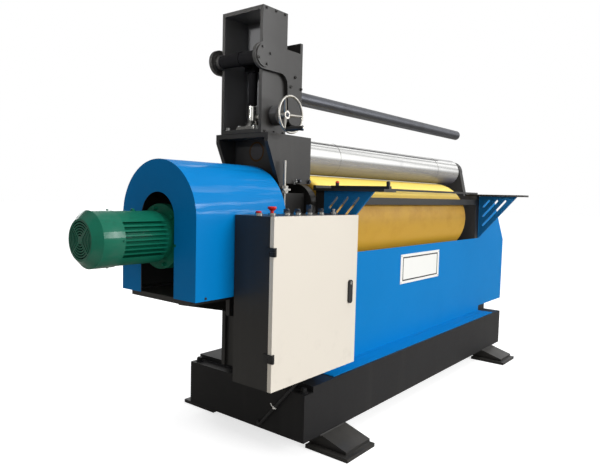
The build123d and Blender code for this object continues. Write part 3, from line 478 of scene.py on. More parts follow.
@dataclass(frozen=True)
class Enamel:
    """Thick brushed machine enamel with a wavy gloss."""

    name: str
    colour: Colour
    coat: float = 0.35
    depth: float = 0.0012

    def material(self) -> bpy.types.Material:
        """Builds the enamel.

        Returns:
            The material.
        """
        shader = Shader(self.name)
        wave = shader.noise(38.0, 3.0)
        cloud = shader.noise(7.0, 4.0)
        tone = shader.mottled(cloud.band(0.3, 0.75) * 0.5, self.colour, 0.62)
        grime = shader.noise(24.0, 5.0).band(0.58, 0.8) * 0.35
        return shader.surface(Base_Color=shader.mix(grime, tone, GRIME), Roughness=0.44 + 0.22 * cloud,
                              Coat_Weight=self.coat * (1 + 1.7 * shader.noise(16.0, 3.0).band(0.45, 0.65)),
                              Coat_Roughness=0.05, Specular_IOR_Level=0.12,
                              Normal=shader.bump(wave * 0.6 + shader.noise(220.0) * 0.4, 0.22, self.depth))


@dataclass(frozen=True)
class TurnedSteel:
    """Bare steel with fine lines round the X axis from grinding or turning."""

    name: str
    colour: Colour
    rough: float
    stain: Colour
    stained: float
    lines: float = 0.10

    def material(self) -> bpy.types.Material:
        """Builds the steel.

        Returns:
            The material.
        """
        shader = Shader(self.name)
        rings = shader.rings()
        bands = shader.noise(1.0, 2.0, 0.5, stretch=(26.0, 1.2, 1.2))
        cloud = shader.noise(9.0, 5.0)
        tone = shader.mix(cloud.band(0.5, 0.8) * self.stained, self.colour, self.stain)
        tone = shader.mix(bands.band(0.45, 0.75) * 0.18, tone, shaded(self.colour, 0.78))
        return shader.surface(Base_Color=tone, Metallic=1.0,
                              Roughness=self.rough + 0.10 * rings + 0.08 * cloud, Anisotropic=0.35,
                              Normal=shader.bump(rings, self.lines, FINE_DEPTH))


@dataclass(frozen=True)
class GroundRoll:
    """A ground working roll: fine rings, rub marks, stains, a greasy journal and painted shade that dulls its
    lower side.
    """

    name: str
    colour: Colour
    # Colour of the random stains, and of the painted shade on the downward faces.
    stain_and_shade: Colour
    face: float
    rough: float = 0.12

    def material(self) -> bpy.types.Material:
        """Builds the roll's finish.

        Returns:
            The material.
        """
        shader = Shader(self.name)
        rings = shader.rings()
        rubbed = shader.noise(1.0, 4.0, 0.65, stretch=(1.4, 70.0, 70.0)).band(0.52, 0.72)
        cloud = shader.noise(11.0, 5.0, stretch=(0.5, 1.0, 1.0))
        greased = 1 - shader.axis("X").band(self.face - 0.02, self.face)
        # Painted shade and reflection: downward faces turn darker, less metallic and rougher; the greased
        # journal joins this mask.
        low = (1 - (shader.facing("Z") + 0.25 * cloud).band(-0.45, 0.12) + greased).clamped()
        tone = shader.mottled(rubbed * 0.4, self.colour, 0.55)
        tone = shader.mix(cloud.band(0.55, 0.8) * 0.2, tone, self.stain_and_shade)
        tone = shader.mix(low * 0.85, tone, self.stain_and_shade)
        tone = shader.mix(greased * 0.85, tone, GREASE)
        return shader.surface(Base_Color=tone, Metallic=1 - 0.75 * low,
                              Roughness=self.rough + 0.03 * rings + 0.06 * rubbed + 0.30 * low,
                              Normal=shader.bump(rings, 0.06, FINE_DEPTH))


@dataclass(frozen=True)
class CastRubber:
    """Cast polyurethane, turned to size, with brown handling marks, a painted highlight on top and a painted
    lighter underside.
    """

    name: str
    colour: Colour
    mark: Colour
    # Colour of the painted highlight on upward faces.
    bright: Colour

    def material(self) -> bpy.types.Material:
        """Builds the sleeve's finish.

        Returns:
            The material.
        """
        shader = Shader(self.name)
        cloud = shader.noise(3.2, 5.0, stretch=(0.45, 1.0, 1.0))
        smear = shader.noise(7.0, 6.0, 0.65, stretch=(0.8, 2.4, 1.0)).band(0.5, 0.78)
        spots = 1 - shader.cells(11.0).band(0.02, 0.09)
        rings = shader.noise(1.0, 3.0, 0.6, stretch=(240.0, 2.0, 2.0))
        # Painted highlight: upward faces take the bright colour.
        lift = shader.facing("Z").band(0.42, 0.80)
        tone = shader.mottled(cloud.band(0.35, 0.75) * 0.45, self.colour, 0.86)
        tone = shader.mix(smear * 0.5, tone, self.mark)
        tone = shader.mix(spots * 0.22, tone, self.mark)
        worn = shader.facing("Z").band(-0.15, 0.3) * (1 - lift) * shader.noise(5.0, 6.0, 0.7).band(0.42, 0.68)
        # Painted light: downward faces are made lighter.
        under = 1 - shader.facing("Z").band(-0.5, 0.05)
        tone = shader.mix(worn * 0.55, tone, self.mark)
        tone = shader.mix(under * 0.8, tone, shaded(self.colour, 1.7))
        tone = shader.mix(lift * 0.85, tone, self.bright)
        return shader.surface(Base_Color=tone, Roughness=0.40 + 0.16 * smear + 0.06 * rings,
                              Subsurface_Weight=0.06, Subsurface_Radius=(0.012, 0.008, 0.003),
                              Coat_Weight=0.05, Coat_Roughness=0.3, Specular_IOR_Level=0.28,
                              Normal=shader.bump(rings, 0.08, FINE_DEPTH))


@dataclass(frozen=True)
class Plated:
    """Bright plated or polished metal with small smudges."""

    name: str
    colour: Colour
    rough: float = 0.12

    def material(self) -> bpy.types.Material:
        """Builds the plating.

        Returns:
            The material.
        """
        shader = Shader(self.name)
        smudge = shader.noise(55.0, 5.0)
        tone = shader.mottled(smudge.band(0.5, 0.8) * 0.3, self.colour, 0.72)
        return shader.surface(Base_Color=tone, Metallic=1.0,
                              Roughness=self.rough + 0.2 * smudge.band(0.4, 0.8),
                              Normal=shader.bump(shader.noise(400.0, 2.0), 0.04, FINE_DEPTH))


@dataclass(frozen=True)
class Moulded:
    """Moulded plastic or rubber with a fine grain."""

    name: str
    colour: Colour
    rough: float = 0.45
    grain: float = 0.10

    def material(self) -> bpy.types.Material:
        """Builds the moulding's finish.

        Returns:
            The material.
        """
        shader = Shader(self.name)
        cloud = shader.noise(30.0, 3.0)
        faded = tuple(0.8 * part + 0.004 for part in self.colour)
        tone = shader.mix(cloud.band(0.4, 0.8) * 0.4, self.colour, faded)
        return shader.surface(Base_Color=tone, Roughness=self.rough + 0.12 * cloud,
                              Normal=shader.bump(shader.noise(900.0, 2.0), self.grain, FINE_DEPTH))


@dataclass(frozen=True)
class PaleFloor:
    """The plain studio floor: near white to the eye, and duller in the light that it throws back."""

    name: str
    colour: Colour
    bounce: Colour
    glow: float

    def material(self) -> bpy.types.Material:
        """Builds the floor's finish.

        Returns:
            The material.
        """
        shader = Shader(self.name)
        cloud = shader.noise(0.8, 2.0)
        tone = shader.mottled(cloud * 0.1, self.colour, 0.97)
        seen = shader.node("ShaderNodeBsdfPrincipled", None, {
            "Base Color": tone, "Roughness": 0.7, "Specular IOR Level": 0.1,
            "Emission Color": (1.0, 1.0, 1.0), "Emission Strength": self.glow})
        thrown = shader.node("ShaderNodeBsdfDiffuse", None, {"Color": self.bounce})
        return shader.ended(shader.node("ShaderNodeMixShader", None, {
            0: shader.ray("Is Camera Ray"), 1: thrown.outputs[0], 2: seen.outputs[0]}))


class Finish(Enum):
    """Every finish on the machine."""

    BLUE = SprayPaint("blue_spray_paint", srgb(0, 122, 192), srgb(30, 130, 196), dusty=0.08, coat=0.01,
                      gleam=0.09, streaks=0.95, chips=0.08)
    # The cover's blue has painted shade on its inward faces.
    COVER_BLUE = replace(BLUE, name="cover_blue_paint_shaded_inside", hollow=(-1.32, 0.0, 0.93))
    GUSSET_BLUE = replace(BLUE, name="gusset_blue_paint", colour=srgb(30, 118, 178), dust=srgb(60, 130, 180),
                          chips=0.2)
    BLACK = SprayPaint("black_spray_paint", srgb(33, 32, 31), DUST, rough=0.40, peel=0.12, dusty=0.12)
    # The next two blacks have painted light on inward faces, in the tower and in the housings.
    TOWER_BLACK = replace(BLACK, name="tower_black_paint_lit_inside", hollow=(-1.07, 0.0, 1.62))
    HOUSING_BLACK = replace(BLACK, name="housing_black_paint_lit_inside", hollow=(0.0, 0.0, 0.95))
    MATT_BLACK = SprayPaint("matt_black_paint", srgb(14, 14, 16), DUST, rough=0.75, peel=0.06, dusty=0.04,
                            coat=0.0, gleam=0.04, streaks=0.0, chips=0.1)
    # A darker copy of the black: painted shade for the low base.
    BASE_BLACK = SprayPaint("base_black_paint_shaded", srgb(25, 25, 27), DUST, rough=0.44, peel=0.12, dusty=0.09,
                            coat=0.04, gleam=0.25, streaks=0.06)
    CREAM = PowderCoat("cream_powder_coat", srgb(224, 217, 205))
    GREEN = Enamel("green_enamel", srgb(12, 102, 79))
    GREEN_WORN = replace(GREEN, name="worn_green_enamel", coat=0.06)
    GROUND = GroundRoll("ground_roll_steel", srgb(230, 230, 228), stain_and_shade=srgb(106, 104, 114), face=-0.84)
    DARK_STEEL = TurnedSteel("dark_bar_steel", srgb(96, 98, 104), rough=0.32, stain=srgb(54, 50, 46),
                             stained=0.5)
    # Its bright colour is a painted highlight.
    SLEEVE = CastRubber("cast_roll_sleeve", srgb(181, 140, 46), mark=srgb(140, 97, 35),
                        bright=srgb(255, 228, 112))
    CAST = Plated("cast_wheel_alloy", srgb(190, 187, 180), rough=0.32)
    WHITE_PLASTIC = Moulded("white_moulding", srgb(232, 230, 224), rough=0.4, grain=0.03)
    BRONZE = Plated("greasy_bronze_bush", srgb(82, 60, 38), rough=0.34)
    CHROME = Plated("bright_plating", srgb(196, 195, 190), rough=0.16)
    ZINC = Plated("zinc_bolt", srgb(186, 188, 186), rough=0.28)
    RED = Moulded("red_button_plastic", srgb(206, 22, 18), rough=0.28, grain=0.03)
    BLACK_PLASTIC = Moulded("black_moulding", srgb(24, 24, 25), rough=0.42)
    KNOB = Moulded("glossy_knob_plastic", srgb(58, 58, 60), rough=0.16, grain=0.02)
    GREY_PLASTIC = Moulded("grey_moulding", srgb(178, 180, 180), rough=0.5)
    WHITE = PowderCoat("white_coated_plate", srgb(240, 240, 236), rough=0.4)
    INK = Moulded("dark_border_ink", srgb(28, 28, 30), rough=0.6, grain=0.02)


HEX_HEAD: Profile = ((0, 0), (1, 0), (1, 0.82), (0.8, 1), (0, 1))
SOCKET_HEAD: Profile = ((0, 0), (1, 0), (1, 0.75), (0.86, 1), (0.5, 1), (0.46, 0.4), (0, 0.4))
WASHER: Profile = ((0, 0), (1, 0), (1, 0.7), (0.94, 1), (0, 1))


class Form:
    """A mesh under construction, given in millimetres and kept in metres.

    The heights of heads and washers are shares of a head's width, and a bead's step is in millimetres.
    """

    HEX_HIGH = 0.62
    SOCKET_HIGH = 0.45
    WASHER_HIGH = 0.14
    BEAD_STEP = 3.0
    BEAD_RIPPLE = 0.14

    def __init__(self) -> None:
        """Starts an empty mesh."""
        self.mesh = bmesh.new()

    def _ring(self, turn: Matrix, radius: float, height: float, sides: int) -> list[bmesh.types.BMVert]:
        """Adds one ring of a turned form.

        Args:
            turn: Where the form stands.
            radius: The ring's radius; 0 gives a single point.
            height: Its height along the axis.
            sides: How many points.

        Returns:
            The ring's points.
        """
        if radius == 0:
            return [self.mesh.verts.new(turn @ Vector((0, 0, height * MM)))]
        return [self.mesh.verts.new(turn @ Vector((across * MM, up * MM, height * MM)))
                for across, up in circle(sides, radius)]

    def _bridge(self, low: list[bmesh.types.BMVert], high: list[bmesh.types.BMVert]) -> None:
        """Joins two rings with faces.

        Args:
            low: The first ring.
            high: The second ring.
        """
        count = max(len(low), len(high))
        for step in range(count):
            after = (step + 1) % count
            corners = (low[step % len(low)], low[after % len(low)],
                       high[after % len(high)], high[step % len(high)])
            distinct = list(dict.fromkeys(corners))
            if len(distinct) > 2:
                self.mesh.faces.new(distinct)

    def lathe(self, profile: Sequence[Pair], centre: Point, facing: Axis, sides: int) -> "Form":
        """Turns a profile round an axis.

        Args:
            profile: Radius and height pairs, from the low end to the high end.
            centre: The axis's foot.
            facing: The axis's direction.
            sides: Points in each ring.

        Returns:
            This form.
        """
        turn = Matrix.Translation(Vector(centre) * MM) @ facing.turn()
        rings = [self._ring(turn, radius, height, sides) for radius, height in profile]
        for low, high in zip(rings, rings[1:]):
            self._bridge(low, high)
        return self

    def bolt(self, centre: Point, facing: Axis, across: float, washer: float = 0.0) -> "Form":
        """Adds a hexagon head with a rounded crown, on a washer where one is given.

        Args:
            centre: Where it sits.
            facing: The way its head points.
            across: Size over the corners.
            washer: The washer's radius, or 0 for none.

        Returns:
            This form.
        """
        lift = self.WASHER_HIGH * across if washer else 0.0
        if washer:
            self.lathe([(washer * wide, lift * high) for wide, high in WASHER], centre, facing, sides=24)
        half, tall = across / 2, self.HEX_HIGH * across
        head = [(half * wide, lift + tall * high) for wide, high in HEX_HEAD]
        return self.lathe(head, centre, facing, sides=6)

    def cap_screw(self, centre: Point, facing: Axis, across: float) -> "Form":
        """Adds a round socket head with its recess.

        Args:
            centre: Where it sits.
            facing: The way its head points.
            across: The head's diameter.

        Returns:
            This form.
        """
        half, tall = across / 2, self.SOCKET_HIGH * across
        head = [(half * wide, tall * high) for wide, high in SOCKET_HEAD]
        return self.lathe(head, centre, facing, sides=18)

    def sweep(self, points: Sequence[Point], radius: float, sides: int = 10, ripple: float = 0.0,
              pitch: float = 9.0) -> "Form":
        """Runs a round section along a line.

        Args:
            points: The line.
            radius: The section's radius.
            sides: Points round the section.
            ripple: How much the radius swells in each weld ripple.
            pitch: Length of a ripple.

        Returns:
            This form.
        """
        line = [Vector(point) for point in points]
        rings, run = [], 0.0
        for index, spot in enumerate(line):
            before, after = line[max(index - 1, 0)], line[min(index + 1, len(line) - 1)]
            run += (spot - before).length
            turn = Vector((0, 0, 1)).rotation_difference((after - before).normalized()).to_matrix().to_4x4()
            place = Matrix.Translation(spot * MM) @ turn
            swell = 1 + ripple * math.sin(math.tau * run / pitch)
            rings.append(self._ring(place, radius * swell, 0, sides))
        for low, high in zip(rings, rings[1:]):
            self._bridge(low, high)
        self.mesh.faces.new(list(reversed(rings[0])))
        self.mesh.faces.new(rings[-1])
        return self

    def weld(self, start: Point, end: Point, radius: float) -> "Form":
        """Lays a rippled weld bead in a corner.

        Args:
            start: One end.
            end: The other end.
            radius: The bead's radius.

        Returns:
            This form.
        """
        first, last = Vector(start), Vector(end)
        count = max(4, int((last - first).length / self.BEAD_STEP))
        points = [tuple(first.lerp(last, step / count)) for step in range(count + 1)]
        return self.sweep(points, radius, sides=8, ripple=self.BEAD_RIPPLE)

    def slab(self, low: Point, high: Point, round_by: float) -> "Form":
        """Adds a block with rounded edges.

        Args:
            low: Lowest corner.
            high: Highest corner.
            round_by: Radius of its edges.

        Returns:
            This form.
        """
        first, last = Vector(low) * MM, Vector(high) * MM
        place = Matrix.Translation((first + last) / 2) @ Matrix.Diagonal((*(last - first), 1.0))
        made = bmesh.ops.create_cube(self.mesh, size=1.0, matrix=place)
        edges = list(dict.fromkeys(edge for vert in made["verts"] for edge in vert.link_edges))
        bmesh.ops.bevel(self.mesh, geom=edges, offset=round_by * MM, segments=2, affect="EDGES", profile=0.5)
        return self

    def finished(self, name: str) -> bpy.types.Object:
        """Turns the form into an object with smooth faces and sharp creases.

        Args:
            name: The object's name.

        Returns:
            The object.
        """
        bmesh.ops.remove_doubles(self.mesh, verts=self.mesh.verts, dist=MERGE_GAP)
        bmesh.ops.recalc_face_normals(self.mesh, faces=self.mesh.faces)
        mesh = bpy.data.meshes.new(name)
        self.mesh.to_mesh(mesh)
        self.mesh.free()
        for face in mesh.polygons:
            face.use_smooth = True
        mesh.set_sharp_from_angle(angle=CREASE)
        thing = bpy.data.objects.new(name, mesh)
        bpy.context.scene.collection.objects.link(thing)
        return thing


@dataclass
class SubAssembly:
    """A group of the machine's parts that are dressed and fitted together."""

    materials: dict[Finish, bpy.types.Material]

    def dress(self, finish: Finish, *nodes: str, edge: float = 1.2) -> None:
        """Gives solids a finish and softly broken edges.

        Args:
            finish: Their finish.
            nodes: The solids' nodes.
            edge: Width of the broken edges, or 0 for none.
        """
        for node in nodes:
            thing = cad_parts[node]
            thing.data.materials.clear()
            thing.data.materials.append(self.materials[finish])
            if edge:
                soft = thing.modifiers.new("broken_edges", "BEVEL")
                soft.width = edge * MM
                soft.segments = 2
                soft.limit_method = "ANGLE"
                soft.angle_limit = BREAK_ANGLE
                soft.harden_normals = True
            LOG.info("%s: %s", node, finish.value.name)

    def fit(self, name: str, form: Form, finish: Finish, body: str, slot: str) -> None:
        """Fits a small piece to a moving or fixed body.

        Args:
            name: The piece's name.
            form: Its mesh.
            finish: Its finish.
            body: The body that it rides on.
            slot: The record's material slot; not used.
        """
        thing = form.finished(name)
        thing.data.materials.append(self.materials[finish])
        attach(thing, body)
        LOG.info("%s on %s: %s", name, body, finish.value.name)


@dataclass
class Base(SubAssembly):
    """The base box with its top plate and wedge feet."""

    half: float = 350.0
    plate_left: float = -1032.0
    plate_margin: float = 6.0
    box_top: float = 266.0
    box_foot: float = 66.0
    corner: Pair = (-1059.0, 322.0)
    corner_bolt: Pair = (27.0, 18.0)
    wedges: tuple[Pair, ...] = ((-983.0, -799.0), (835.0, 1019.0))
    wedge_margin: float = 4.0
    bead: float = 4.0
    bead_lap: float = 1.0

    def build(self) -> None:
        """Dresses the base and lays the welds of its top plate and feet."""
        self.dress(Finish.BASE_BLACK, "base_frame", "base_top_plate", edge=2.0)
        self.dress(Finish.BLACK, "wedge_feet", edge=2.0)
        bolts = Form()
        for side in (-1, 1):
            bolts.bolt((self.corner[0], side * self.corner[1], self.box_top), Axis.UP, *self.corner_bolt)
        self.fit("base_corner_bolts", bolts, Finish.BASE_BLACK, "machine_frame", "black_paint")
        x, reach, z = self.plate_left, self.half - self.plate_margin, self.box_top
        top = Form().weld((x, -reach, z), (x, reach, z), self.bead)
        self.fit("base_plate_weld", top, Finish.BASE_BLACK, "machine_frame", "black_paint")
        self.fit("foot_welds", self.foot_welds(), Finish.BLACK, "machine_frame", "black_paint")

    def foot_welds(self) -> Form:
        """Beads along the upper edges of the wedge feet.

        Returns:
            The beads.
        """
        form = Form()
        z = self.box_foot - self.bead_lap
        for side in (-1, 1):
            y = side * (self.half + self.bead_lap)
            for start, end in (inset(wedge, self.wedge_margin) for wedge in self.wedges):
                form.weld((start, y, z), (end, y, z), self.bead)
        return form


@dataclass
class Housing(SubAssembly):
    """Both housings with their chocks, lift cylinders, yoke, grease elbow and bolts."""

    face: float = 154.0
    elbow: Pair = (-954.0, 1130.0)
    elbow_nut: float = 13.0
    elbow_start: float = 2.0
    elbow_bend: float = 7.0
    elbow_pipe: float = 4.0
    nipple: Profile = ((0, 0), (4.6, 0), (4.6, 3), (2.6, 5), (2.6, 7), (3.6, 9), (3, 11), (0, 12))
    head_places: tuple[Pair, ...] = ((-920.0, 1142.0), (-851.0, 1141.0))
    head_bolt: Pair = (16.0, 10.0)
    flange_x: float = -795.0
    flange_r: float = 150.0
    flange_count: int = 8
    flange_screw: float = 14.0
    roll_z: float = 948.0

    def build(self) -> None:
        """Dresses the housings and fits the grease elbow and the bolts."""
        self.dress(Finish.BLACK, "housing_cheeks", "housing_ties", "upper_chock", "left_chock", "right_chock",
                   "lift_cylinders")
        self.dress(Finish.HOUSING_BLACK, "right_housing", "drop_yoke")
        self.dress(Finish.BRONZE, "upper_bush", "lower_bushes", "yoke_bush", edge=0)
        self.dress(Finish.CHROME, "lift_rams", "yoke_pin", edge=0.6)
        self.fit("grease_elbow", self.grease_elbow(), Finish.ZINC, "machine_frame", "chrome")
        self.fit("head_bolts", self.bolts(), Finish.DARK_STEEL, "machine_frame", "dark_steel")
        self.fit("chock_flange_bolts", self.flange_bolts(), Finish.ZINC, "lower_carriage", "chrome")

    def grease_elbow(self) -> Form:
        """A grease nipple on a small elbow under the head's front edge.

        Returns:
            The nut, the bent pipe and the nipple.
        """
        x, z = self.elbow
        out, bend = -self.face, self.elbow_bend
        turns = [math.radians(angle) for angle in range(0, 91, 15)]
        pipe = [(x, out - bend - bend * math.sin(turn), z + bend * (1 - math.cos(turn))) for turn in turns]
        form = Form().bolt((x, out, z), Axis.FRONT, self.elbow_nut)
        form.sweep([(x, out - self.elbow_start, z), *pipe], self.elbow_pipe)
        return form.lathe(self.nipple, (x, out - 2 * bend, z + bend), Axis.UP, sides=14)

    def bolts(self) -> Form:
        """Bolts along the head's lower edge, front and back.

        Returns:
            The bolts.
        """
        form = Form()
        for (x, z), (side, way) in product(self.head_places, SIDES):
            form.bolt((x, side * self.face, z), way, *self.head_bolt)
        return form

    def flange_bolts(self) -> Form:
        """Socket screws in the sliding chock's arched flange, facing the roll.

        Returns:
            The screws.
        """
        form = Form()
        for across, up in circle(self.flange_count, self.flange_r):
            form.cap_screw((self.flange_x, across, self.roll_z + up), Axis.RIGHT, self.flange_screw)
        return form


@dataclass
class Rolls(SubAssembly):
    """The sleeved lower roll and the ground upper roll."""

    def build(self) -> None:
        """Dresses both rolls."""
        self.dress(Finish.DARK_STEEL, "lower_roll_core", edge=0.8)
        self.dress(Finish.SLEEVE, "roll_sleeve", edge=0)
        self.dress(Finish.GROUND, "upper_roll", edge=0.8)


@dataclass
class Tower(SubAssembly):
    """The tower, its screw jack and the handwheel."""

    half: float = 119.0
    edge_x: tuple[float, ...] = (-1112.0, -1053.0, -995.0)
    edge_z: Pair = (1344.0, 1844.0)
    edge_screw: float = 11.0
    sole_x: Pair = (-1119.0, -1005.0)
    sole_y: Pair = (-88.0, 88.0)
    sole_top: float = 1352.0
    sole_bolt: Pair = (18.0, 12.0)
    wheel: Pair = (-1048.0, 1412.0)
    boss_face: float = -160.0
    boss_r: float = 29.0
    boss_count: int = 4
    boss_screw: float = 9.0
    hub_face: float = -189.0
    hub_washer: Profile = ((0, 0), (10, 0), (10, 1.2), (9, 2), (0, 2))
    hub_screw: float = 11.0
    jack_x: float = -1060.0
    jack_spread: Pair = (36.0, 43.0)
    jack_foot_top: float = 1368.0
    jack_screw: float = 13.0

    def build(self) -> None:
        """Dresses the tower and fits its screws and the wheel's retaining screw."""
        self.dress(Finish.TOWER_BLACK, "tower_cheeks", "tower_ties", edge=1.5)
        self.dress(Finish.CHROME, "jack_housing", edge=0.8)
        self.dress(Finish.MATT_BLACK, "jack_spindle", edge=0.8)
        self.dress(Finish.CAST, "handwheel", edge=0.5)
        self.dress(Finish.BLACK_PLASTIC, "handle_grip", edge=0.8)
        self.fit("tower_screws", self.screws(), Finish.BLACK, "machine_frame", "black_paint")
        self.fit("tower_foot_bolts", self.foot_bolts(), Finish.ZINC, "machine_frame", "chrome")
        self.fit("wheel_boss_screws", self.boss_screws(), Finish.BLACK, "machine_frame", "black_paint")
        self.fit("jack_foot_screws", self.jack_screws(), Finish.ZINC, "machine_frame", "chrome")
        self.fit("wheel_screw", self.wheel_screw(), Finish.DARK_STEEL, "handwheel", "dark_steel")

    def screws(self) -> Form:
        """Screw heads in the edges of the top and sole plates, front and back.

        Returns:
            The screws.
        """
        form = Form()
        for (side, way), x, z in product(SIDES, self.edge_x, self.edge_z):
            form.cap_screw((x, side * self.half, z), way, self.edge_screw)
        return form

    def foot_bolts(self) -> Form:
        """Bolts that hold the tower's sole to the head plate.

        Returns:
            The bolts.
        """
        form = Form()
        for y, x in product(self.sole_y, self.sole_x):
            form.bolt((x, y, self.sole_top), Axis.UP, *self.sole_bolt)
        return form

    def boss_screws(self) -> Form:
        """Socket screws in the face of the wheel shaft's boss.

        Returns:
            The screws.
        """
        form = Form()
        x, z = self.wheel
        for across, up in circle(self.boss_count, self.boss_r):
            form.cap_screw((x + across, self.boss_face, z + up), Axis.FRONT, self.boss_screw)
        return form

    def jack_screws(self) -> Form:
        """Four socket screws that hold the jack's foot.

        Returns:
            The screws.
        """
        form = Form()
        wide, deep = self.jack_spread
        for x, y in product((-wide, wide), (-deep, deep)):
            form.cap_screw((self.jack_x + x, y, self.jack_foot_top), Axis.UP, self.jack_screw)
        return form

    def wheel_screw(self) -> Form:
        """The screw and washer that hold the handwheel on its shaft.

        Returns:
            The screw on its washer.
        """
        x, z = self.wheel
        thick = self.hub_washer[-1][1]
        form = Form().lathe(self.hub_washer, (x, self.hub_face, z), Axis.FRONT, sides=24)
        return form.cap_screw((x, self.hub_face - thick, z), Axis.FRONT, self.hub_screw)


@dataclass
class SupportArm(SubAssembly):
    """The overhead arm with its rod and pivot."""

    face: float = 136.0
    inner_face: float = 120.0
    pivot: Pair = (-1140.0, 1643.0)
    tube_r: Pair = (20.4, 28.0)
    tube_run: Pair = (12.5, 102.0)
    tube_edge: float = 1.0
    leg_places: tuple[Pair, ...] = ((-939.0, 1589.0), (-968.0, 1544.0), (-899.0, 1544.0))
    leg_screw: float = 13.0
    rim_r: float = 38.0
    rim_bead: float = 2.4
    rim_turns: tuple[int, int, int] = (110, 255, 5)
    rim_screws_r: float = 47.0
    rim_screws_first: int = 2
    rim_screws_step: int = 8
    rim_screw: float = 7.0

    def build(self) -> None:
        """Dresses the arm and fits its leg screws, the rear pivot's rim and the pivot's tubes."""
        self.dress(Finish.BLACK, "arm_cheeks", "arm_end_plate", "pivot_caps", edge=1.5)
        self.dress(Finish.MATT_BLACK, "pivot_shaft", edge=1.5)
        self.dress(Finish.DARK_STEEL, "support_rod", edge=2.0)
        screws = Form()
        for (x, z), (side, way) in product(self.leg_places, SIDES):
            screws.cap_screw((x, side * self.face, z), way, self.leg_screw)
        self.fit("arm_leg_screws", screws, Finish.BLACK, "support_arm", "black_paint")
        self.fit("rear_pivot_rim", self.pivot_rim(), Finish.BLACK, "support_arm", "black_paint")
        self.fit("pivot_distance_tubes", self.distance_tubes(), Finish.MATT_BLACK, "support_arm",
                 "black_paint")

    def distance_tubes(self) -> Form:
        """Tubes on the pivot shaft between its crank and the tower's cheeks.

        Returns:
            Both tubes.
        """
        (inner, outer), (start, end) = self.tube_r, self.tube_run
        broken = outer - self.tube_edge
        near, far = inset(self.tube_run, self.tube_edge)
        ring = [(inner, start), (broken, start), (outer, near), (outer, far), (broken, end), (inner, end),
                (inner, start)]
        x, z = self.pivot
        form = Form()
        for _, way in SIDES:
            form.lathe(ring, (x, 0, z), way, sides=40)
        return form

    def pivot_rim(self) -> Form:
        """Raised rim and screws round the rear pivot, on the side that the tower's ear leaves free.

        Returns:
            The rim with its screws.
        """
        x, z = self.pivot
        form = Form()
        ways = [(math.cos(turn), math.sin(turn)) for turn in map(math.radians, range(*self.rim_turns))]
        rim, out, y = self.rim_r, self.rim_screws_r, self.inner_face
        form.sweep([(x + rim * across, y, z + rim * up) for across, up in ways], self.rim_bead)
        for across, up in ways[self.rim_screws_first::self.rim_screws_step]:
            form.cap_screw((x + out * across, y, z + out * up), Axis.FRONT, self.rim_screw)
        return form


@dataclass
class Drive(SubAssembly):
    """The motor, the reducer and their cover on its platform."""

    axis_z: float = 914.0
    flange_x: float = -1548.0
    flange_r: float = 107.0
    flange_count: int = 6
    flange_start: float = 0.25
    flange_bolt: Pair = (15.0, 10.0)
    cowl_x: float = -1768.0
    cowl_r: float = 98.6
    cowl_screw: float = 8.0
    cover_x: tuple[float, ...] = (-1512.0, -1320.0, -1128.0)
    cover_half: float = 218.0
    cover_foot: float = 703.0
    cover_screw: float = 9.0
    plug: Point = (-1666.0, 0.0, 1009.5)
    plug_form: Profile = ((0, 0), (9, 0), (9, 2.5), (6.5, 3), (6.5, 7), (5, 8.5), (0, 8.5))

    def build(self) -> None:
        """Dresses the drive and fits its bolts and lifting plug."""
        self.dress(Finish.COVER_BLUE, "drive_cover", edge=1.0)
        self.dress(Finish.BLACK, "drive_platform", edge=1.5)
        self.dress(Finish.GREEN, "fan_cowl", edge=0.8)
        self.dress(Finish.GREEN_WORN, "motor_body", "reducer", edge=0.8)
        self.dress(Finish.BLACK_PLASTIC, "motor_fan", edge=0)
        self.fit("motor_flange_bolts", self.flange_bolts(), Finish.GREEN_WORN, "lower_carriage",
                 "green_paint")
        self.fit("cowl_screws", self.cowl_screws(), Finish.GREEN, "lower_carriage", "green_paint")
        plug = Form().lathe(self.plug_form, self.plug, Axis.UP, sides=20)
        self.fit("motor_lifting_plug", plug, Finish.GREEN, "lower_carriage", "green_paint")
        self.fit("cover_screws", self.cover_screws(), Finish.BLACK, "machine_frame", "black_paint")

    def flange_bolts(self) -> Form:
        """Bolts round the motor's flange.

        Returns:
            The bolts.
        """
        form = Form()
        for across, up in circle(self.flange_count, self.flange_r, self.flange_start):
            form.bolt((self.flange_x, across, self.axis_z + up), Axis.LEFT, *self.flange_bolt)
        return form

    def cowl_screws(self) -> Form:
        """Small screws round the fan cowl's edge.

        Returns:
            The screws.
        """
        form = Form()
        for side, way in SIDES:
            form.cap_screw((self.cowl_x, side * self.cowl_r, self.axis_z), way, self.cowl_screw)
        for side, way in ((-1, Axis.DOWN), (1, Axis.UP)):
            form.cap_screw((self.cowl_x, 0, self.axis_z + side * self.cowl_r), way, self.cowl_screw)
        return form

    def cover_screws(self) -> Form:
        """Screws along the cover's lower edge.

        Returns:
            The screws.
        """
        form = Form()
        for (side, way), x in product(SIDES, self.cover_x):
            form.cap_screw((x, side * self.cover_half, self.cover_foot), way, self.cover_screw)
        return form


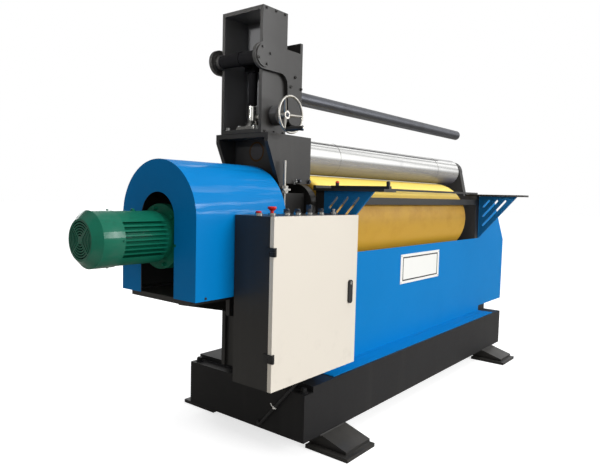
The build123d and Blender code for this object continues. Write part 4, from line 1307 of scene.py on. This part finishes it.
@dataclass
class Panels(SubAssembly):
    """Sheet panels, the drop-end guard and the bare plate."""

    plate_x: Pair = (-114.0, 366.0)
    plate_z: Pair = (604.5, 767.5)
    plate_y: float = -236.0
    border_inset: Pair = (24.0, 15.0)
    border_wide: float = 7.0
    border_y: Pair = (-0.5, 0.2)
    border_round: float = 0.2
    rivet_inset: Pair = (9.0, 8.0)
    rivet: Profile = ((0, 0), (4, 0), (3.6, 1), (2.2, 1.9), (0, 2.3))

    def build(self) -> None:
        """Dresses the panels and fits the plate's border and rivets."""
        self.dress(Finish.BLUE, "front_panel", "rear_panel", "drop_guard", edge=1.0)
        self.dress(Finish.WHITE, "blank_plate", edge=0.5)
        self.fit("plate_border", self.border(), Finish.INK, "machine_frame", "black_plastic")
        rivets = Form()
        for x, z in product(*self.within(self.rivet_inset)):
            rivets.lathe(self.rivet, (x, self.plate_y, z), Axis.FRONT, sides=16)
        self.fit("plate_rivets", rivets, Finish.ZINC, "machine_frame", "chrome")

    def within(self, margins: Pair) -> tuple[Pair, Pair]:
        """The plate's runs in X and Z inside margins at its ends and edges."""
        return inset(self.plate_x, margins[0]), inset(self.plate_z, margins[1])

    def border(self) -> Form:
        """A raised line round the plate.

        Returns:
            The line's four sides.
        """
        form = Form()
        (x0, x1), (z0, z1) = self.within(self.border_inset)
        y0, y1 = (self.plate_y + out for out in self.border_y)
        wide = self.border_wide
        for low, high in (((x0, z0), (x1, z0 + wide)), ((x0, z1 - wide), (x1, z1)),
                          ((x0, z0), (x0 + wide, z1)), ((x1 - wide, z0), (x1, z1))):
            form.slab((low[0], y0, low[1]), (high[0], y1, high[1]), self.border_round)
        return form


@dataclass
class FeedTable(SubAssembly):
    """Gussets, shelves, bars and the side guide in front of the rolls."""

    seam: tuple[Point, Point] = ((985.0, -233.0, 813.0), (985.0, -233.0, 1101.0))
    bead: float = 3.2
    rear_stud: Point = (-804.0, -281.0, 1138.0)
    front_stud: Point = (-804.0, -538.0, 1138.0)
    dome: Profile = ((0, 0), (8.6, 0), (8.6, 3), (6.5, 7), (3, 8.6), (0, 9))

    def build(self) -> None:
        """Dresses the table, caps the guide's studs and welds the right gusset to its plate."""
        weld = Form().weld(*self.seam, self.bead)
        self.fit("gusset_weld", weld, Finish.GUSSET_BLUE, "machine_frame", "blue_paint")
        self.dress(Finish.GUSSET_BLUE, "table_gussets", edge=1.2)
        self.dress(Finish.BLACK, "table_shelves", "table_frame", "side_guide", edge=1.2)
        self.dress(Finish.CAST, "limit_rod", edge=0.4)
        self.fit("guide_stud_cap_rear", self.cap(self.rear_stud), Finish.RED, "machine_frame", "red_plastic")
        self.fit("guide_stud_cap_front", self.cap(self.front_stud), Finish.BLACK_PLASTIC, "machine_frame",
                 "black_plastic")

    def cap(self, stud: Point) -> Form:
        """A domed cap on that stud of the guide."""
        return Form().lathe(self.dome, stud, Axis.UP, sides=24)


@dataclass
class Cabinet(SubAssembly):
    """The control cabinet, its console and its conduit."""

    door_x: Pair = (-1374.0, -834.0)
    door_z: Pair = (369.0, 1002.0)
    seal_inset: float = 16.0
    seal_y: float = -408.0
    seal_r: float = 4.5
    lock: Point = (-886.0, -424.3, 717.0)
    lock_form: Profile = ((0, 0), (7.5, 0), (7.5, 1.2), (6.6, 2.2), (2.6, 2.2), (2.4, 1.0), (0, 1.0))
    bezel_top: float = 1011.0
    collar_form: Profile = ((11.2, 0), (14.2, 0), (13.6, 1.4), (12, 1.8), (11.2, 1.2), (11.2, 0))
    selector_top: float = 1025.3
    knob_top: float = 1041.3
    mark_half: float = 1.1
    mark_run: Pair = (-11.0, -1.0)
    mark_z: Pair = (-0.2, 0.5)
    mark_round: float = 0.2
    tie_at: Point = (-1106.0, -205.0, 186.2)
    tie_along: Point = (0.0, 0.663, -0.7486)
    tie_r: float = 7.1
    tie_slant: float = 2.5
    tie_steps: int = 24
    strand_shift: float = 1.2
    strand_r: float = 1.1
    tie_lock: Point = (3.0, 4.0, 4.0)
    tie_lock_out: float = 8.5
    tie_lock_round: float = 0.8
    tail_r: float = 1.9
    tail_lean: Pair = (0.75, 0.66)
    tail_curl: Pair = (-0.02, 0.008)
    tail_ease: float = 6.0
    tail_run: tuple[int, int, int] = (0, 22, 3)

    def build(self) -> None:
        """Dresses the cabinet and its fittings."""
        self.dress(Finish.BLACK, "cabinet_body", "cabinet_brackets", edge=1.2)
        self.dress(Finish.CREAM, "cabinet_door", edge=1.5)
        self.dress(Finish.BLACK_PLASTIC, "hinge_body_leaves", "hinge_door_leaves", "lock_handle", edge=0.6)
        self.dress(Finish.GREY_PLASTIC, "control_gear", edge=1.0)
        self.dress(Finish.CHROME, "console_bezels", edge=0.6)
        self.dress(Finish.RED, "red_button", "estop_button", edge=0.8)
        self.dress(Finish.KNOB, "selector_1", "selector_2", "selector_3", "speed_knob", edge=0.6)
        self.dress(Finish.BLACK_PLASTIC, "cable_conduit", edge=0.6)
        self.fit("door_seal", self.seal(), Finish.BLACK_PLASTIC, "cabinet_door", "black_plastic")
        self.fit("lock_cap", self.lock_cap(), Finish.CHROME, "lock_handle", "chrome")
        self.fit("red_button_collar", self.collar("red_button"), Finish.BLACK_PLASTIC, "machine_frame",
                 "black_plastic")
        for knob, top in (("selector_1", self.selector_top), ("selector_2", self.selector_top),
                          ("selector_3", self.selector_top), ("speed_knob", self.knob_top)):
            self.fit(f"{knob}_mark", self.mark(knob, top), Finish.WHITE_PLASTIC, knob, "white_plate")
        self.fit("conduit_tie", self.tie(), Finish.WHITE_PLASTIC, "machine_frame", "white_plate")

    def middle(self, node: str) -> Pair:
        """A console piece's middle in X and Y, in millimetres."""
        low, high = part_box(node)
        return (low[0] + high[0]) / 2 / MM, (low[1] + high[1]) / 2 / MM

    def seal(self) -> Form:
        """The rubber seal inside the door's rim.

        Returns:
            The seal's four sides.
        """
        (x0, x1), (z0, z1) = (inset(run, self.seal_inset) for run in (self.door_x, self.door_z))
        corners = ((x0, z0), (x1, z0), (x1, z1), (x0, z1))
        form = Form()
        for start, end in zip(corners, corners[1:] + corners[:1]):
            form.sweep([(start[0], self.seal_y, start[1]), (end[0], self.seal_y, end[1])], self.seal_r)
        return form

    def lock_cap(self) -> Form:
        """The key cap in the middle of the lock's handle."""
        return Form().lathe(self.lock_form, self.lock, Axis.FRONT, sides=24)

    def collar(self, node: str) -> Form:
        """A dark ring on the bezel round a button."""
        x, y = self.middle(node)
        return Form().lathe(self.collar_form, (x, y, self.bezel_top), Axis.UP, sides=32)

    def mark(self, node: str, top: float) -> Form:
        """The pale pointer line on a knob.

        Args:
            node: The knob's node.
            top: The height of its upper face.

        Returns:
            The line.
        """
        x, y = self.middle(node)
        (near, far), (low, high) = self.mark_run, self.mark_z
        return Form().slab((x - self.mark_half, y + near, top + low),
                           (x + self.mark_half, y + far, top + high), self.mark_round)

    def tie(self) -> Form:
        """A cable tie round the conduit, with its lock and its free tail.

        Returns:
            The tie.
        """
        along, centre, aside = Vector(self.tie_along), Vector(self.tie_at), Vector((1, 0, 0))
        out = aside.cross(along).normalized()
        turns = [math.tau * step / self.tie_steps for step in range(self.tie_steps + 1)]
        ring = [centre + self.tie_r * (math.cos(turn) * aside + math.sin(turn) * out)
                + self.tie_slant * math.cos(turn) * along for turn in turns]
        form = Form()
        for shift in (-self.strand_shift, 0.0, self.strand_shift):
            form.sweep([tuple(spot + shift * along) for spot in ring], self.strand_r, sides=8)
        foot, half = centre - self.tie_lock_out * aside, Vector(self.tie_lock)
        form.slab(tuple(foot - half), tuple(foot + half), self.tie_lock_round)
        (back, rise), (curl, lift) = self.tail_lean, self.tail_curl
        tail = [foot + Vector((curl * run * run / self.tail_ease, back * run, rise * run + lift * run * run))
                for run in range(*self.tail_run)]
        return form.sweep([tuple(spot) for spot in tail], self.tail_r, sides=8)


@dataclass
class Studio:
    """Floor, lights and camera."""

    place: Point = (-2.8660, -1.7278, 1.0824)
    right: Point = (0.62635, -0.77914, 0.02504)
    up: Point = (0.03783, 0.06247, 0.99733)
    back: Point = (-0.77862, -0.62373, 0.0686)
    lens: float = 33.96
    sensor: float = 36.0
    floor_half: float = 40.0
    floor_z: float = -0.0005
    floor_finish: PaleFloor = PaleFloor("studio_floor", (0.62, 0.62, 0.62), (0.48, 0.46, 0.43), 0.72)
    bright_side: Point = (0.6, -0.65, 0.45)
    surround: Pair = (0.10, 0.66)
    backdrop: float = 1.0
    screen: float = 1.3
    screen_across: Pair = (0.5, 0.66)
    screen_high: Pair = (0.0, 0.12)
    seams: tuple[Point, ...] = ((0.25, 0.12, 0.5), (-0.10, 0.05, 0.65), (-0.34, 0.035, 0.6))
    seam_edge: Pair = (0.6, 1.4)
    sun_far: float = 5.0

    def build(self) -> None:
        """Sets up the floor, the lights and the camera."""
        self.floor()
        self.world()
        self.sun("key_light", (0.16, -1.0, 0.40), power=2.0, soft=28.0)
        self.lamp("gloss_light", (1.9, -5.1, 2.7), (0.0, 0.0, 0.9), size=(3.6, 2.4), power=150.0,
                  reach=Reach.GLOSS)
        self.lamp("top_light", (0.2, -1.0, 5.0), (0.1, 0.0, 0.8), size=(4.5, 1.0), power=80.0,
                  reach=Reach.MATT)
        self.lamp("fill_light", (-4.5, -3.2, 2.4), (-0.6, 0.0, 0.9), size=(2.0, 2.0), power=13.0)
        self.lamp("tower_light", (-4.2, 0.35, 2.3), (-1.0, 0.0, 1.70), size=(0.4, 0.4), power=1.3,
                  spread=14.0)
        self.lamp("back_light", (0.4, 5.6, 2.6), (0.0, 0.0, 0.8), size=(3.2, 2.0), power=70.0)
        self.camera()

    def floor(self) -> None:
        """Lays the pale floor."""
        mesh = bpy.data.meshes.new("studio_floor")
        form = bmesh.new()
        bmesh.ops.create_grid(form, x_segments=1, y_segments=1, size=self.floor_half)
        form.to_mesh(mesh)
        form.free()
        thing = bpy.data.objects.new("studio_floor", mesh)
        thing.location.z = self.floor_z
        mesh.materials.append(self.floor_finish.material())
        bpy.context.scene.collection.objects.link(thing)

    def world(self) -> None:
        """Gives a pale surround, brighter at one side, with a white screen that glossy steel mirrors."""
        sky = Surround("studio_surround")
        dim, bright = self.surround
        soft = dim + (bright - dim) * (0.5 * sky.toward(self.bright_side) + 0.5)
        across, deep, high = (sky.part(sky.way, letter) for letter in "XYZ")
        screen = across.band(*self.screen_across) * high.band(*self.screen_high)
        shade = self.screen * screen
        near, far = self.seam_edge
        for place, wide, dark in self.seams:
            shade = shade * (1 - dark * (1 - (deep - place).math("ABSOLUTE").band(near * wide, far * wide)))
        mirrored = soft * (1 - screen) + shade
        light = soft + (mirrored - soft) * sky.ray("Is Glossy Ray")
        light = light + (self.backdrop - light) * sky.ray("Is Camera Ray")
        bpy.context.scene.world = sky.shine(light)
        bpy.context.scene.view_settings.view_transform = "Standard"

    def lamp(self, name: str, place: Point, aim: Point, size: Pair, power: float, reach: Reach = Reach.ALL,
             spread: float = 180.0) -> None:
        """Adds one soft lamp.

        Args:
            name: The lamp's name.
            place: Where it hangs.
            aim: What it points at.
            size: Its two sides.
            power: Its power in watts.
            reach: What its light is seen in.
            spread: How wide its beam opens, in degrees.
        """
        light = bpy.data.lights.new(name, "AREA")
        light.shape = "RECTANGLE"
        light.size, light.size_y = size
        light.energy = power
        light.spread = math.radians(spread)
        self.hang(light, place, Vector(aim) - Vector(place), reach)

    def sun(self, name: str, side: Point, power: float, soft: float) -> None:
        """Adds the even light of a large far lamp.

        Args:
            name: The lamp's name.
            side: The side that it shines from.
            power: Its light on what faces it, in watts per square metre.
            soft: How wide it looks, in degrees.
        """
        light = bpy.data.lights.new(name, "SUN")
        light.energy = power
        light.angle = math.radians(soft)
        self.hang(light, tuple(self.sun_far * Vector(side)), -Vector(side), Reach.MATT)

    def hang(self, light: bpy.types.Light, place: Point, way: Vector, reach: Reach) -> None:
        """Puts a lamp in its place.

        Args:
            light: The lamp's data.
            place: Where it hangs.
            way: The way it shines.
            reach: What its light is seen in.
        """
        thing = bpy.data.objects.new(light.name, light)
        thing.visible_diffuse = reach is not Reach.GLOSS
        thing.visible_glossy = reach is not Reach.MATT
        thing.location = place
        thing.rotation_euler = way.to_track_quat("-Z", "Y").to_euler()
        bpy.context.scene.collection.objects.link(thing)

    def camera(self) -> None:
        """Sets the camera at the photograph's view."""
        lens = bpy.data.cameras.new("camera")
        lens.sensor_fit = "HORIZONTAL"
        lens.sensor_width = self.sensor
        lens.lens = self.lens
        thing = bpy.data.objects.new("camera", lens)
        turn = Matrix((self.right, self.up, self.back)).transposed().to_4x4()
        thing.matrix_world = Matrix.Translation(self.place) @ turn
        bpy.context.scene.collection.objects.link(thing)
        bpy.context.scene.camera = thing


def main() -> None:
    """Builds the machine's sub-assemblies in order, then the studio."""
    logging.basicConfig(level=logging.INFO, format="%(message)s")
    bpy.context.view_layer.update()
    materials = {finish: finish.value.material() for finish in Finish}
    for kind in (Base, Housing, Rolls, Tower, SupportArm, Drive, Panels, FeedTable, Cabinet):
        kind(materials).build()
    Studio().build()


if __name__ == "__main__":
    main()
